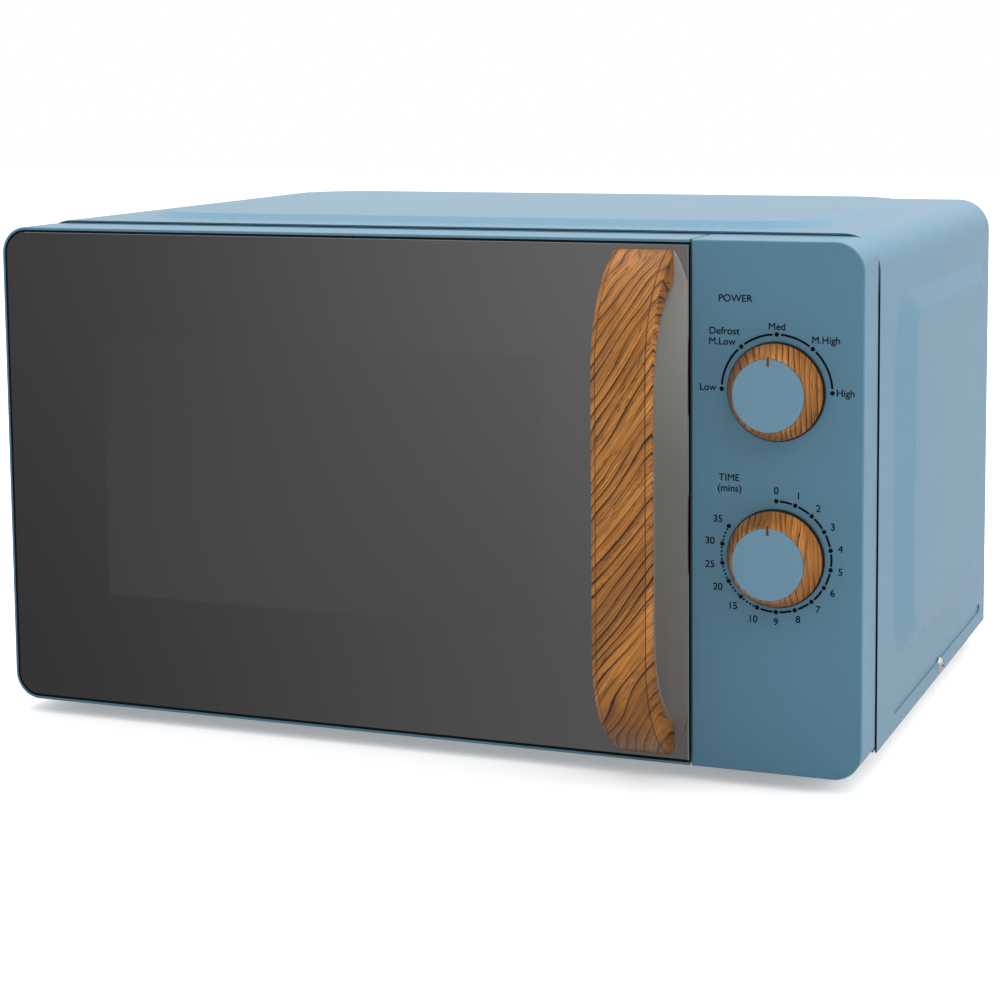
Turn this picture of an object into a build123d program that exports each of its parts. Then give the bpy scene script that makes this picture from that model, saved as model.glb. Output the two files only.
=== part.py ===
from build123d import *
import math
import os

# A table-top microwave oven with two dials. Millimetres, z up, x to the right.
# Every piece is drawn with y = 0 on the door's face and y growing towards the back.

# Overall sizes
BODY_WIDTH = 446.0
BODY_DEPTH = 320.0
FRONT_HEIGHT = 245.0
FRONT_LIFT = 7.5
FOOT_HEIGHT = 11.5
CABINET_HEIGHT = 242.3
COVER_INSET = 1.0

# Wall thicknesses and clearances
SHEET = 0.8
MOULDING = 2.2
SEAT_GAP = 0.2
MOVING_GAP = 0.3
RUNNING_FIT = 0.05

# Front of the cabinet
FRONT_CORNER = 13.5
PANEL_WIDTH = 79.9
PANEL_DEPTH = 33.8
PANEL_FACE = 2.5
PANEL_DRAFT = 1.5
DOOR_GAP = 1.1
DOOR_DEPTH = 30.5
DOOR_CLEARANCE = 1.0
COVER_GAP = 1.4

# Cover
COVER_CORNER = 17.0
COVER_FLANGE = 10.0
TOP_RISE = 3.0
TOP_SLOPE = 7.0
TOP_MARGIN = (27.0, 34.0, 24.0)     # front, sides, back
TOP_CORNER = 42.0
SIDE_RISE = 3.6
SIDE_SLOPE = (32.0, 11.0)           # front edge, other three edges
SIDE_MARGIN = (34.0, 14.0, 33.5, 32.0)  # front, back, bottom, top
SIDE_CORNER = 26.0
SOFT_EDGE = 6.0
BEAD_HEIGHT = 10.5
BEAD_WIDTH = 5.0
BEAD_DEPTH = 0.7

# Oven cavity
COMPARTMENT_WIDTH = 117.2
CAVITY_LEFT_GAP = 22.0
CAVITY_FLOOR_GAP = 18.9
CAVITY_TOP_GAP = 18.2
CAVITY_BACK_GAP = 16.0
DISH_EDGE = 6.6
DISH_DEPTH = 3.0

# Turntable
TRAY_GAP = 5.5
TRAY_THICKNESS = 5.0
TRAY_RIM = 9.0
ROLLER_RADIUS = 7.0
ROLLER_WIDTH = 8.0
TRACK_INSET = 27.5
RING_WIDTH = 6.0
AXLE_RADIUS = 2.0
COUPLER_STEM = 3.4

# Door
RIM = 1.3
GASKET = 1.0
GLASS = 4.0
LEDGE = 2.0
LEDGE_SIDE = 8.0
LEDGE_END = 18.0
HINGE_INSET = 6.0
HINGE_LIFT = 18.0
HINGE_DEPTH = 25.5
HINGE_PIN = 2.5
HINGE_ARM = 2.0
PAN_DEPTH = 25.0
WINDOW_WIDTH = 236.0
WINDOW_HEIGHT = 138.0
SCREEN = 0.6
INNER_PANE = 1.0

# Handle
HANDLE_INSET = 21.6
HANDLE_WIDTH = 28.8
HANDLE_REACH = 35.3
HANDLE_TIP = 2.2
HANDLE_BEND = 58.0
HANDLE_MARGIN = 4.8
GRIP_REACH = 31.0
GRIP_BEND = 55.0
GRIP_MARGIN = 14.0
GRIP_PAD = 2.2
GRIP_POCKET = 1.8
HANDLE_BEVEL = (3.0, 2.0)

# Latch
LATCH_INSET = 20.0
LATCH_WIDTH = 4.0
HOOK_HEIGHT = 18.0
HOOK_REACH = 56.0
HOOK_NOSE = 3.0
HOOK_TRAVEL = 4.0
HOOK_SPACING = 92.0
SPRING_LENGTH = 22.0
SPRING_RADIUS = 2.6
SPRING_WIRE = 0.4
SPRING_TURNS = 7

# Dials
POWER_DIAL_Z = 184.5
TIME_DIAL_Z = 108.25
KNOB_BASE = 22.2
KNOB_FRONT = 17.4
KNOB_HEIGHT = 15.5
KNOB_LIFT = 0.4
COLLAR = 1.1
CAP_RADIUS = 16.6
CAP_THICKNESS = 2.4
POINTER = (1.8, 4.2)                # width, length
SPINDLE = 3.0

# Electrical bay
TUBE_TO_FAN = 67.0
TUBE_Z = 158.0
TUBE_HALF = 36.0
GUIDE_DEPTH = 25.0
YOKE_LENGTH = 60.0
LAMP_TO_TUBE = 26.0
LAMP_DROP = 50.0
CORE_TO_CAN = 66.0
CAN_SETBACK = 49.2
BOARD_SIZE = (42.0, 40.0)           # depth, height
TIMER_DEPTH = 39.5
TIMER_STANDOFF = 4.0
TIMER_HALF = (29.0, 62.0)
FAN_RADIUS = 46.0
FAN_AXIS_Z = 152.0
FAN_DEPTH = 48.0
FAN_BLADES = 5

# Fasteners and feet
SCREW_HEAD = 3.9
SCREW_DOME = 2.6
SCREW_SHANK = 1.8
SIDE_SCREW = (187.0, 5.6)           # depth, height over the cover's lower edge
FOOT_RADIUS = 12.0
FOOT_INSET = 46.0

# Places that follow from the sizes above
LEFT = -BODY_WIDTH / 2
RIGHT = BODY_WIDTH / 2
PANEL_LEFT = RIGHT - PANEL_WIDTH
PANEL_X = (PANEL_LEFT + RIGHT) / 2
DOOR_RIGHT = PANEL_LEFT - DOOR_GAP
FRONT_Z0 = FRONT_LIFT
FRONT_Z1 = FRONT_Z0 + FRONT_HEIGHT
FRONT_ZM = (FRONT_Z0 + FRONT_Z1) / 2
CAB_X = RIGHT - COVER_INSET
CAB_Z0 = FOOT_HEIGHT
CAB_Z1 = CAB_Z0 + CABINET_HEIGHT
PLATE_Y = PANEL_DEPTH + SEAT_GAP
INSIDE_Y = PLATE_Y + SHEET
COVER_Y = INSIDE_Y + COVER_GAP
BACK_Y = BODY_DEPTH - SHEET
CAV_X0 = -CAB_X + CAVITY_LEFT_GAP
CAV_X1 = CAB_X - COMPARTMENT_WIDTH
CAV_Z0 = CAB_Z0 + CAVITY_FLOOR_GAP + 2 * SHEET
CAV_Z1 = CAB_Z1 - CAVITY_TOP_GAP
CAV_Y1 = BODY_DEPTH - CAVITY_BACK_GAP
CAV_XM = (CAV_X0 + CAV_X1) / 2
CAV_YM = (INSIDE_Y + CAV_Y1) / 2
DISH_RADIUS = (CAV_Y1 - INSIDE_Y) / 2 - DISH_EDGE
TRAY_RADIUS = DISH_RADIUS - TRAY_GAP
ROLLER_TRACK = TRAY_RADIUS - TRACK_INSET
DISH_Z = CAV_Z0 - DISH_DEPTH
ROLLER_Z = DISH_Z + MOVING_GAP + ROLLER_RADIUS
TRAY_Z = ROLLER_Z + ROLLER_RADIUS + MOVING_GAP
WALL_X = CAV_X1 + SHEET
BAY_X = (WALL_X + CAB_X - SHEET) / 2
BASE_TOP = CAB_Z0 + SHEET
HINGE_X = LEFT + HINGE_INSET
HINGE_Z = FRONT_Z0 + HINGE_LIFT
WINDOW_X = (CAV_XM - WINDOW_WIDTH / 2, CAV_XM + WINDOW_WIDTH / 2)
WINDOW_ZM = FRONT_ZM - 2.0
WINDOW_Z = (WINDOW_ZM - WINDOW_HEIGHT / 2, WINDOW_ZM + WINDOW_HEIGHT / 2)
HANDLE_X = DOOR_RIGHT - HANDLE_INSET
LATCH_X = DOOR_RIGHT - LATCH_INSET
HANDLE_Z = (FRONT_Z0 + HANDLE_MARGIN, FRONT_Z1 - HANDLE_MARGIN)
HOOK_Z = (FRONT_ZM - HOOK_SPACING / 2, FRONT_ZM + HOOK_SPACING / 2)
LATCH_Z = (HOOK_Z[0] - 20.0, HOOK_Z[1] + 20.0)
SWITCH_Y = HOOK_REACH + 3.5
BOARD_Y = (SWITCH_Y + 22.5, SWITCH_Y + 22.5 + BOARD_SIZE[0])
BOARD_Z = (TUBE_Z + TUBE_HALF, TUBE_Z + TUBE_HALF + BOARD_SIZE[1])
DIALS_Z = (TIME_DIAL_Z + POWER_DIAL_Z) / 2
PAN_X = (HINGE_X + 7.0, DOOR_RIGHT - MOULDING - SEAT_GAP)
PAN_Z = (FRONT_Z0 + MOULDING + SEAT_GAP, FRONT_Z1 - MOULDING - SEAT_GAP)
FAN_Y = (BODY_DEPTH - FAN_DEPTH, BACK_Y - SHEET - SEAT_GAP)
TUBE_Y = FAN_Y[0] - TUBE_TO_FAN
LAMP_Y = TUBE_Y - LAMP_TO_TUBE
LAMP_Z = TUBE_Z - LAMP_DROP
CAN_Y = INSIDE_Y + CAN_SETBACK
CORE_Y = CAN_Y + CORE_TO_CAN
GUIDE_X = WALL_X + GUIDE_DEPTH
WAVE_PORT_Y = (TUBE_Y - 65.0, TUBE_Y + 5.0)
WAVE_PORT_Z = (TUBE_Z - 22.0, TUBE_Z + 22.0)
YOKE_X = (GUIDE_X, GUIDE_X + YOKE_LENGTH)
CORE_Z0 = BASE_TOP + 1.5
CAN_Z = BASE_TOP + 24.2
TIMER_Y = (PANEL_FACE + TIMER_STANDOFF, PANEL_FACE + TIMER_STANDOFF + TIMER_DEPTH)
GLAND_X = BAY_X + 30.0
GLAND_Z = CAB_Z0 + 32.0
REAR_REACH = BODY_DEPTH + SCREW_DOME
# Moves the finished pieces so that the middle of the whole depth is at y = 0
FRONT_Y = (HANDLE_REACH - REAR_REACH) / 2


def mid(span):
    return (span[0] + span[1]) / 2


def block(x, y, z):
    """A box between three pairs of limits."""
    return Pos(mid(x), mid(y), mid(z)) * Box(x[1] - x[0], y[1] - y[0], z[1] - z[0])


def rod_x(radius, x, y, z):
    return Pos(mid(x), y, z) * Rot(0, 90, 0) * Cylinder(radius, x[1] - x[0])


def rod_y(radius, x, y, z):
    return Pos(x, mid(y), z) * Rot(90, 0, 0) * Cylinder(radius, y[1] - y[0])


def rod_z(radius, x, y, z):
    return Pos(x, y, mid(z)) * Cylinder(radius, z[1] - z[0])


def outline(a, b, low=0.0, high=0.0):
    """A rectangle between two pairs of limits, its corners at a's two ends rounded."""
    sketch = Pos(mid(a), mid(b)) * Rectangle(a[1] - a[0], b[1] - b[0])
    if low > 0:
        sketch = fillet(sketch.vertices().group_by(Axis.X)[0], low)
    if high > 0:
        sketch = fillet(sketch.vertices().group_by(Axis.X)[-1], high)
    return sketch


def front_plate_of(sketch, y):
    """A sketch in x and z made solid between two depths."""
    return Pos(0, y[1], 0) * extrude(Plane.XZ * sketch, y[1] - y[0])


def side_plate_of(sketch, x):
    """A sketch in y and z made solid between two x limits."""
    return Pos(x[0], 0, 0) * extrude(Plane.YZ * sketch, x[1] - x[0])


def turned_y(points):
    """A ring or disc turned about the y axis from (radius, y) points."""
    return revolve(Polygon(*points, align=None), Axis.Y)


def turned_z(points):
    """A ring or disc turned about the z axis from (radius, z) points."""
    return revolve(Plane.XZ * Polygon(*points, align=None), Axis.Z)


def grid(a, b):
    """Every pair of the values in two lists."""
    return [(p, q) for p in a for q in b]


def steps(start, pitch, count):
    return [start + pitch * i for i in range(count)]


# Cabinet

def arch_outline(inset, bottom):
    """Cross-section of the cabinet: straight sides and a round-cornered top."""
    half = CAB_X - inset
    top = CAB_Z1 - inset
    sketch = Pos(0, (bottom + top) / 2) * Rectangle(2 * half, top - bottom)
    return fillet(sketch.vertices().group_by(Axis.Y)[-1], COVER_CORNER - inset)


def soft_boss(low, high, size):
    """A raised field with sloping edges, softened where the slopes meet the flats."""
    field = loft([low, high], ruled=True)
    return fillet(field.faces().sort_by(size)[-1].edges(), SOFT_EDGE)


def top_boss(inset):
    half = CAB_X - TOP_MARGIN[1]
    y = (COVER_Y + TOP_MARGIN[0], BODY_DEPTH - TOP_MARGIN[2])
    foot = Pos(0, mid(y)) * RectangleRounded(2 * half, y[1] - y[0], TOP_CORNER)
    step = 2 * TOP_SLOPE
    crown = Pos(0, mid(y)) * RectangleRounded(2 * half - step, y[1] - y[0] - step, TOP_CORNER - TOP_SLOPE)
    z = CAB_Z1 - inset
    return soft_boss(Pos(0, 0, z) * foot, Pos(0, 0, z + TOP_RISE) * crown, Axis.Z)


def side_boss(inset):
    """The raised field of the right-hand side."""
    y = (COVER_Y + SIDE_MARGIN[0], BODY_DEPTH - SIDE_MARGIN[1])
    z = (CAB_Z0 + SIDE_MARGIN[2], CAB_Z1 - SIDE_MARGIN[3])
    y_in = (y[0] + SIDE_SLOPE[0], y[1] - SIDE_SLOPE[1])
    z_in = (z[0] + SIDE_SLOPE[1], z[1] - SIDE_SLOPE[1])
    foot = Pos(mid(y), mid(z)) * RectangleRounded(y[1] - y[0], z[1] - z[0], SIDE_CORNER)
    crown = RectangleRounded(y_in[1] - y_in[0], z_in[1] - z_in[0], SIDE_CORNER - SIDE_SLOPE[1])
    crown = Pos(mid(y_in), mid(z_in)) * crown
    x = CAB_X - inset
    low = Pos(x, 0, 0) * (Plane.YZ * foot)
    high = Pos(x + SIDE_RISE, 0, 0) * (Plane.YZ * crown)
    return soft_boss(low, high, Axis.X)


def side_bead(inset):
    """The long pressed-in bead above the right-hand lower edge."""
    y = (COVER_Y + SIDE_MARGIN[0] + 4.0, BODY_DEPTH - SIDE_MARGIN[1] - 2.0)
    slot = SlotOverall(y[1] - y[0] + 2 * inset, BEAD_WIDTH + 2 * inset)
    slot = Pos(mid(y), CAB_Z0 + BEAD_HEIGHT) * slot
    return side_plate_of(slot, (CAB_X - inset - BEAD_DEPTH, CAB_X + 1.0))


def cover_form(inset, y, bottom):
    """Outer skin of the cover, or with an inset the space inside it."""
    form = front_plate_of(arch_outline(inset, bottom), y)
    form += top_boss(inset)
    right = side_boss(inset)
    form += right
    form += mirror(right, Plane.YZ)
    bead = side_bead(inset)
    form -= bead
    form -= mirror(bead, Plane.YZ)
    return form


def rear_screws():
    """Places (x, z) of the screws through the cover's back flange."""
    x = CAB_X - SHEET - COVER_FLANGE / 2
    top = CAB_Z1 - SHEET - COVER_FLANGE / 2
    return [(-x, 70.0), (x, 70.0), (-0.6 * x, top), (0.6 * x, top)]


def outer_cover():
    skin = cover_form(0.0, (COVER_Y, BODY_DEPTH), CAB_Z0)
    space = cover_form(SHEET, (COVER_Y - 1.0, BACK_Y), CAB_Z0 - 1.0)
    cover = skin - space
    opening = arch_outline(SHEET + COVER_FLANGE, CAB_Z0 - 1.0)
    cover -= front_plate_of(opening, (BACK_Y - 1.0, BODY_DEPTH + 1.0))
    for x, z in rear_screws():
        cover -= rod_y(SCREW_SHANK + SEAT_GAP, x, (BACK_Y - 1.0, BODY_DEPTH + 1.0), z)
    side_z = CAB_Z0 + SIDE_SCREW[1]
    for side in (-1, 1):
        x = sorted((side * (CAB_X - 2.0), side * (CAB_X + 1.0)))
        cover -= rod_x(SCREW_SHANK + SEAT_GAP, x, SIDE_SCREW[0], side_z)
    # Outlet slots through the left-hand side
    for y, z in grid(steps(BODY_DEPTH - 112.0, 7.0, 11), steps(CAB_Z0 + 96.0, 24.0, 4)):
        slot = Pos(y, z) * SlotOverall(18.0, 3.0, rotation=90)
        cover -= side_plate_of(slot, (-CAB_X - SIDE_RISE - 1.0, -CAB_X + 2.0))
    return cover


def base_plate():
    x = CAB_X - SHEET - BEAD_DEPTH - 0.1
    y = (COVER_Y, BACK_Y - SHEET)
    plate = block((-x, x), y, (CAB_Z0, BASE_TOP))
    for side in (-1, 1):
        limits = sorted((side * x, side * (x - SHEET)))
        plate += block(limits, (INSIDE_Y + 16.0, y[1]), (CAB_Z0, CAB_Z0 + 15.0))
    side_z = CAB_Z0 + SIDE_SCREW[1]
    plate -= rod_x(SCREW_SHANK + RUNNING_FIT, (-x - 1.0, x + 1.0), SIDE_SCREW[0], side_z)
    # Air slots under the electrical bay
    for u, v in grid(steps(WALL_X + 16.0, 22.0, 4), steps(TUBE_Y + 7.0, 9.0, 5)):
        plate -= Pos(u, v, CAB_Z0) * extrude(SlotOverall(16.0, 4.0), 4.0, both=True)
    return plate


def back_plate():
    sketch = arch_outline(SHEET + SEAT_GAP, CAB_Z0)
    plate = front_plate_of(sketch, (BACK_Y - SHEET, BACK_Y))
    for x, z in rear_screws():
        plate -= rod_y(SCREW_SHANK + RUNNING_FIT, x, (BACK_Y - 3.0, BACK_Y + 3.0), z)
    # Inlet grille in front of the fan
    for u, v in grid(steps(BAY_X - 38.5, 7.0, 12), steps(FAN_AXIS_Z - 33.0, 22.0, 4)):
        slot = Pos(u, v) * SlotOverall(18.0, 3.6, rotation=90)
        plate -= front_plate_of(slot, (BACK_Y - 3.0, BACK_Y + 3.0))
    # Outlet grille behind the cavity
    for u, v in grid(steps(CAV_XM - 90.0, 20.0, 10), [CAB_Z1 - 34.0, CAB_Z1 - 26.0]):
        slot = Pos(u, v) * SlotOverall(14.0, 3.6)
        plate -= front_plate_of(slot, (BACK_Y - 3.0, BACK_Y + 3.0))
    plate -= rod_y(8.0 + RUNNING_FIT, GLAND_X, (BACK_Y - 3.0, BACK_Y + 3.0), GLAND_Z)
    return plate


def mains_gland():
    """Bush for the mains cord, with a collar inside and outside the back plate."""
    face = BACK_Y - SHEET
    gland = rod_y(8.0, GLAND_X, (face - 6.0, BODY_DEPTH + 2.0), GLAND_Z)
    gland += rod_y(10.5, GLAND_X, (face - 3.0, face), GLAND_Z)
    gland += rod_y(10.5, GLAND_X, (BACK_Y, BODY_DEPTH + 2.0), GLAND_Z)
    return gland - rod_y(3.5, GLAND_X, (face - 8.0, BODY_DEPTH + 4.0), GLAND_Z)


def front_plate():
    gap = SHEET + 0.4
    y = (PLATE_Y, INSIDE_Y + 14.0)
    low = BASE_TOP + 0.4
    plate = front_plate_of(arch_outline(gap, low), y)
    plate -= front_plate_of(arch_outline(gap + SHEET, low + SHEET), (INSIDE_Y, y[1] + 1.0))
    deep = (PLATE_Y - 1.0, INSIDE_Y + 1.0)
    plate -= block((CAV_X0, CAV_X1), deep, (CAV_Z0, CAV_Z1))
    plate -= block((PANEL_LEFT + 5.0, CAB_X - 8.0), deep, (CAB_Z0 + 16.0, CAB_Z1 - 16.0))
    for z in HOOK_Z:
        x = (LATCH_X - LATCH_WIDTH / 2 - 2.0, LATCH_X + LATCH_WIDTH / 2 + 3.0)
        limits = (z - HOOK_HEIGHT / 2 - HOOK_NOSE - 2.0, z + HOOK_HEIGHT / 2 + HOOK_TRAVEL + 2.0)
        plate -= block(x, deep, limits)
    for z in (HINGE_Z - HINGE_ARM / 2, 2 * FRONT_ZM - HINGE_Z + HINGE_ARM / 2):
        x = (HINGE_X + 1.0 - SEAT_GAP, HINGE_X + 9.0 + SEAT_GAP)
        plate -= block(x, deep, (z - HINGE_ARM / 2 - SEAT_GAP, z + HINGE_ARM / 2 + SEAT_GAP))
    return plate


def hinge_brackets():
    """Lower and upper hinge: an arm through the front plate, a leg behind it and a pin."""
    z = (HINGE_Z - HINGE_ARM, HINGE_Z)
    points = [(HINGE_X + 3.4, HINGE_DEPTH), (HINGE_X + 9.0, PLATE_Y), (HINGE_X + 9.0, INSIDE_Y + 2.0),
              (HINGE_X + 1.0, INSIDE_Y + 2.0), (HINGE_X + 1.0, PLATE_Y), (HINGE_X - 3.4, HINGE_DEPTH)]
    arm = Pos(0, 0, z[0]) * extrude(Polygon(*points, align=None), HINGE_ARM)
    arm += rod_z(4.0, HINGE_X, HINGE_DEPTH, z)
    arm += rod_z(HINGE_PIN, HINGE_X, HINGE_DEPTH, (z[0], HINGE_Z + 11.0))
    arm += block((HINGE_X + 1.0, HINGE_X + 12.0), (INSIDE_Y, INSIDE_Y + 2.0), (z[0], HINGE_Z + 24.0))
    flip = Pos(0, 0, 2 * FRONT_ZM) * mirror(arm, Plane.XY)
    return [arm, flip]


# Oven cavity

def cavity_shell():
    """Left wall, floor and right wall in one bent sheet, with a dished floor."""
    x = (CAV_X0 - SHEET, CAV_X1 + SHEET)
    y = (INSIDE_Y, CAV_Y1)
    shell = block(x, y, (CAV_Z0 - SHEET, CAV_Z1))
    shell += rod_z(DISH_RADIUS + SHEET, CAV_XM, CAV_YM, (DISH_Z - SHEET, CAV_Z0))
    shell -= block((CAV_X0, CAV_X1), (y[0] - 1.0, y[1] + 1.0), (CAV_Z0, CAV_Z1 + 1.0))
    shell -= rod_z(DISH_RADIUS, CAV_XM, CAV_YM, (DISH_Z, CAV_Z0 + 1.0))
    shell -= rod_z(10.0, CAV_XM, CAV_YM, (DISH_Z - 3.0, DISH_Z + 1.0))
    through = (CAV_X1 - 1.0, CAV_X1 + 2.0)
    shell -= block(through, WAVE_PORT_Y, WAVE_PORT_Z)
    # Lamp holes on the right, steam outlet holes on the left
    for y0, z0 in grid(steps(LAMP_Y - 10.0, 5.0, 5), steps(LAMP_Z - 10.0, 5.0, 5)):
        shell -= rod_x(1.5, through, y0, z0)
    outlet = (CAV_X0 - 2.0, CAV_X0 + 1.0)
    for y0, z0 in grid(steps(CAV_Y1 - 80.0, 6.0, 8), steps(CAV_Z1 - 60.0, 6.0, 6)):
        shell -= rod_x(1.75, outlet, y0, z0)
    return shell


def cavity_top():
    x = (CAV_X0 - SHEET, CAV_X1 + SHEET)
    return block(x, (INSIDE_Y, CAV_Y1), (CAV_Z1, CAV_Z1 + SHEET))


def cavity_back():
    x = (CAV_X0 - SHEET, CAV_X1 + SHEET)
    back = block(x, (CAV_Y1, CAV_Y1 + SHEET), (CAV_Z0 - SHEET, CAV_Z1 + SHEET))
    centre = (CAV_Z0 + CAV_Z1) / 2
    back += rod_y(62.0, CAV_XM, (CAV_Y1, CAV_Y1 + 3.0 + SHEET), centre)
    return back - rod_y(62.0 - SHEET, CAV_XM, (CAV_Y1 - 1.0, CAV_Y1 + 3.0), centre)


# Microwave source and its supply, all in the bay to the right of the cavity

def waveguide():
    y = (TUBE_Y - 75.0, TUBE_Y + 38.0)
    z = (TUBE_Z - 34.0, TUBE_Z + 34.0)
    duct = block((WALL_X, GUIDE_X), y, z)
    inner = [(v[0] + SHEET, v[1] - SHEET) for v in (y, z)]
    duct -= block((WALL_X - 1.0, GUIDE_X - SHEET), inner[0], inner[1])
    return duct - rod_x(11.0, (GUIDE_X - 2.0, GUIDE_X + 1.0), TUBE_Y, TUBE_Z)


def waveguide_cover():
    y = (WAVE_PORT_Y[0] - 9.0, WAVE_PORT_Y[1] + 9.0)
    z = (WAVE_PORT_Z[0] - 9.0, WAVE_PORT_Z[1] + 9.0)
    return block((CAV_X1 - 0.6, CAV_X1), y, z)


def magnetron_yoke():
    y = (TUBE_Y - TUBE_HALF, TUBE_Y + TUBE_HALF)
    z = (TUBE_Z - TUBE_HALF, TUBE_Z + TUBE_HALF)
    yoke = block(YOKE_X, y, z)
    inner_z = (z[0] + 2.0, z[1] - 2.0)
    yoke -= block((YOKE_X[0] + 2.0, YOKE_X[1] - 2.0), (y[0] - 1.0, y[1] + 1.0), inner_z)
    return yoke - rod_x(12.0, (YOKE_X[0] - 1.0, YOKE_X[1] + 1.0), TUBE_Y, TUBE_Z)


def magnetron_tube():
    """Anode with its cooling fins, end magnets and the antenna in the waveguide."""
    ends = (YOKE_X[0] + 2.0, YOKE_X[1] - 2.0)
    tube = rod_x(20.0, ends, TUBE_Y, TUBE_Z)
    fin_y = (TUBE_Y - TUBE_HALF + 2.0, TUBE_Y + TUBE_HALF - 2.0)
    fin_z = (TUBE_Z - TUBE_HALF + 2.2, TUBE_Z + TUBE_HALF - 2.2)
    for x in steps(ends[0] + 11.0, 4.2, 9):
        tube += block((x, x + 0.8), fin_y, fin_z)
    for x in ((ends[0], ends[0] + 8.0), (ends[1] - 8.0, ends[1])):
        tube += rod_x(27.0, x, TUBE_Y, TUBE_Z)
    tube += rod_x(9.0, (GUIDE_X - 18.0, ends[0]), TUBE_Y, TUBE_Z)
    return tube


def magnetron_filter_box():
    x = (YOKE_X[1], YOKE_X[1] + 22.0)
    half = TUBE_HALF - 6.0
    box = block(x, (TUBE_Y - half, TUBE_Y + half), (TUBE_Z - half, TUBE_Z + half))
    plug_y = (TUBE_Y - half - 10.0, TUBE_Y - half)
    plug = block((x[0] + 4.0, x[0] + 16.0), plug_y, (TUBE_Z - 9.0, TUBE_Z + 9.0))
    return box + plug


def transformer_core():
    """Laminated core with two windows, on a foot plate."""
    stack = (BAY_X - 28.0, BAY_X + 28.0)
    core = block(stack, (CORE_Y - 48.0, CORE_Y + 48.0), (CORE_Z0, CORE_Z0 + 80.0))
    for side in (-1, 1):
        window = sorted((CORE_Y + side * 16.0, CORE_Y + side * 32.0))
        core -= block((stack[0] - 1.0, stack[1] + 1.0), window, (CORE_Z0 + 16.0, CORE_Z0 + 64.0))
    return core + block((BAY_X - 36.0, BAY_X + 36.0), (CORE_Y - 46.0, CORE_Y + 46.0), (BASE_TOP, CORE_Z0))


def transformer_coils():
    """Lower primary and upper secondary coil round the middle leg."""
    coils = []
    for z in ((CORE_Z0 + 16.5, CORE_Z0 + 38.0), (CORE_Z0 + 42.0, CORE_Z0 + 63.5)):
        ring = RectangleRounded(84.0, 63.0, 12.0) - RectangleRounded(56.4, 32.4, 1.0)
        coils.append(Pos(BAY_X, CORE_Y, z[0]) * extrude(ring, z[1] - z[0]))
    return coils


def capacitor():
    can = Pos(CAN_Y, CAN_Z) * SlotOverall(46.0, 30.0, rotation=90)
    body = side_plate_of(can, (BAY_X - 40.0, BAY_X + 44.0))
    for z in (CAN_Z - 9.0, CAN_Z + 9.0):
        body += block((BAY_X - 50.0, BAY_X - 40.0), (CAN_Y - 3.2, CAN_Y + 3.2), (z - 0.4, z + 0.4))
    return body


def capacitor_strap():
    x = (BAY_X + 8.0, BAY_X + 24.0)
    band = Pos(CAN_Y, CAN_Z) * (SlotOverall(48.2, 32.2, rotation=90) - SlotOverall(46.2, 30.2, rotation=90))
    strap = side_plate_of(band, x)
    foot = block(x, (CAN_Y - 30.0, CAN_Y - 15.0), (BASE_TOP, BASE_TOP + 1.0))
    post = block(x, (CAN_Y - 16.1, CAN_Y - 15.1), (BASE_TOP, CAN_Z))
    return strap + foot + post


def hv_diode():
    z = CAN_Z + 23.0 + 3.2
    diode = rod_x(3.0, (BAY_X - 20.0, BAY_X + 2.0), CAN_Y, z)
    return diode + rod_x(0.6, (BAY_X - 28.0, BAY_X + 6.0), CAN_Y, z)


# Fan

def fan_duct():
    """Square housing with a round throat and three arms that hold the motor."""
    half = FAN_RADIUS + 9.0
    x = (BAY_X - half, BAY_X + half)
    duct = block(x, FAN_Y, (FAN_AXIS_Z - half, FAN_AXIS_Z + half))
    duct -= rod_y(FAN_RADIUS + 4.0, BAY_X, (FAN_Y[0] - 1.0, FAN_Y[1] + 1.0), FAN_AXIS_Z)
    spider = rod_y(15.0, BAY_X, (FAN_Y[0], FAN_Y[0] + 3.0), FAN_AXIS_Z)
    for turn in (0, 120, 240):
        bar = block((-5.0, 5.0), (FAN_Y[0], FAN_Y[0] + 3.0), (0.0, FAN_RADIUS + 6.0))
        spider += Pos(BAY_X, 0, FAN_AXIS_Z) * Rot(0, turn, 0) * bar
    return duct + spider - rod_y(6.0, BAY_X, (FAN_Y[0] - 1.0, FAN_Y[0] + 4.0), FAN_AXIS_Z)


def fan_motor():
    """Shaded-pole motor: laminations, side coil and end bearing."""
    y = (FAN_Y[0] - 20.0, FAN_Y[0])
    x = (BAY_X - 24.0, BAY_X + 24.0)
    motor = block(x, (y[0] + 4.0, y[1] - 2.0), (FAN_AXIS_Z - 20.0, FAN_AXIS_Z + 36.0))
    motor += block((BAY_X - 15.0, BAY_X + 15.0), (y[0], y[1]), (FAN_AXIS_Z + 20.0, FAN_AXIS_Z + 33.0))
    motor += rod_y(11.0, BAY_X, y, FAN_AXIS_Z)
    return motor - rod_y(2.5 + RUNNING_FIT, BAY_X, (y[0] + 4.0, y[1] + 1.0), FAN_AXIS_Z)


def fan_blade():
    """Five-bladed impeller on its shaft."""
    y = (FAN_Y[0] + 16.0, FAN_Y[0] + 32.0)
    fan = rod_y(11.0, BAY_X, y, FAN_AXIS_Z)
    for turn in range(FAN_BLADES):
        reach = (9.0, FAN_RADIUS - 4.0)
        blade = Rot(0, 0, 35) * block((-9.0, 9.0), (-0.8, 0.8), reach)
        fan += Pos(BAY_X, mid(y), FAN_AXIS_Z) * Rot(0, turn * 360 / FAN_BLADES, 0) * blade
    return fan + rod_y(2.5, BAY_X, (FAN_Y[0] - 14.0, y[1] + 4.0), FAN_AXIS_Z)


# Small electrical pieces

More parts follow.
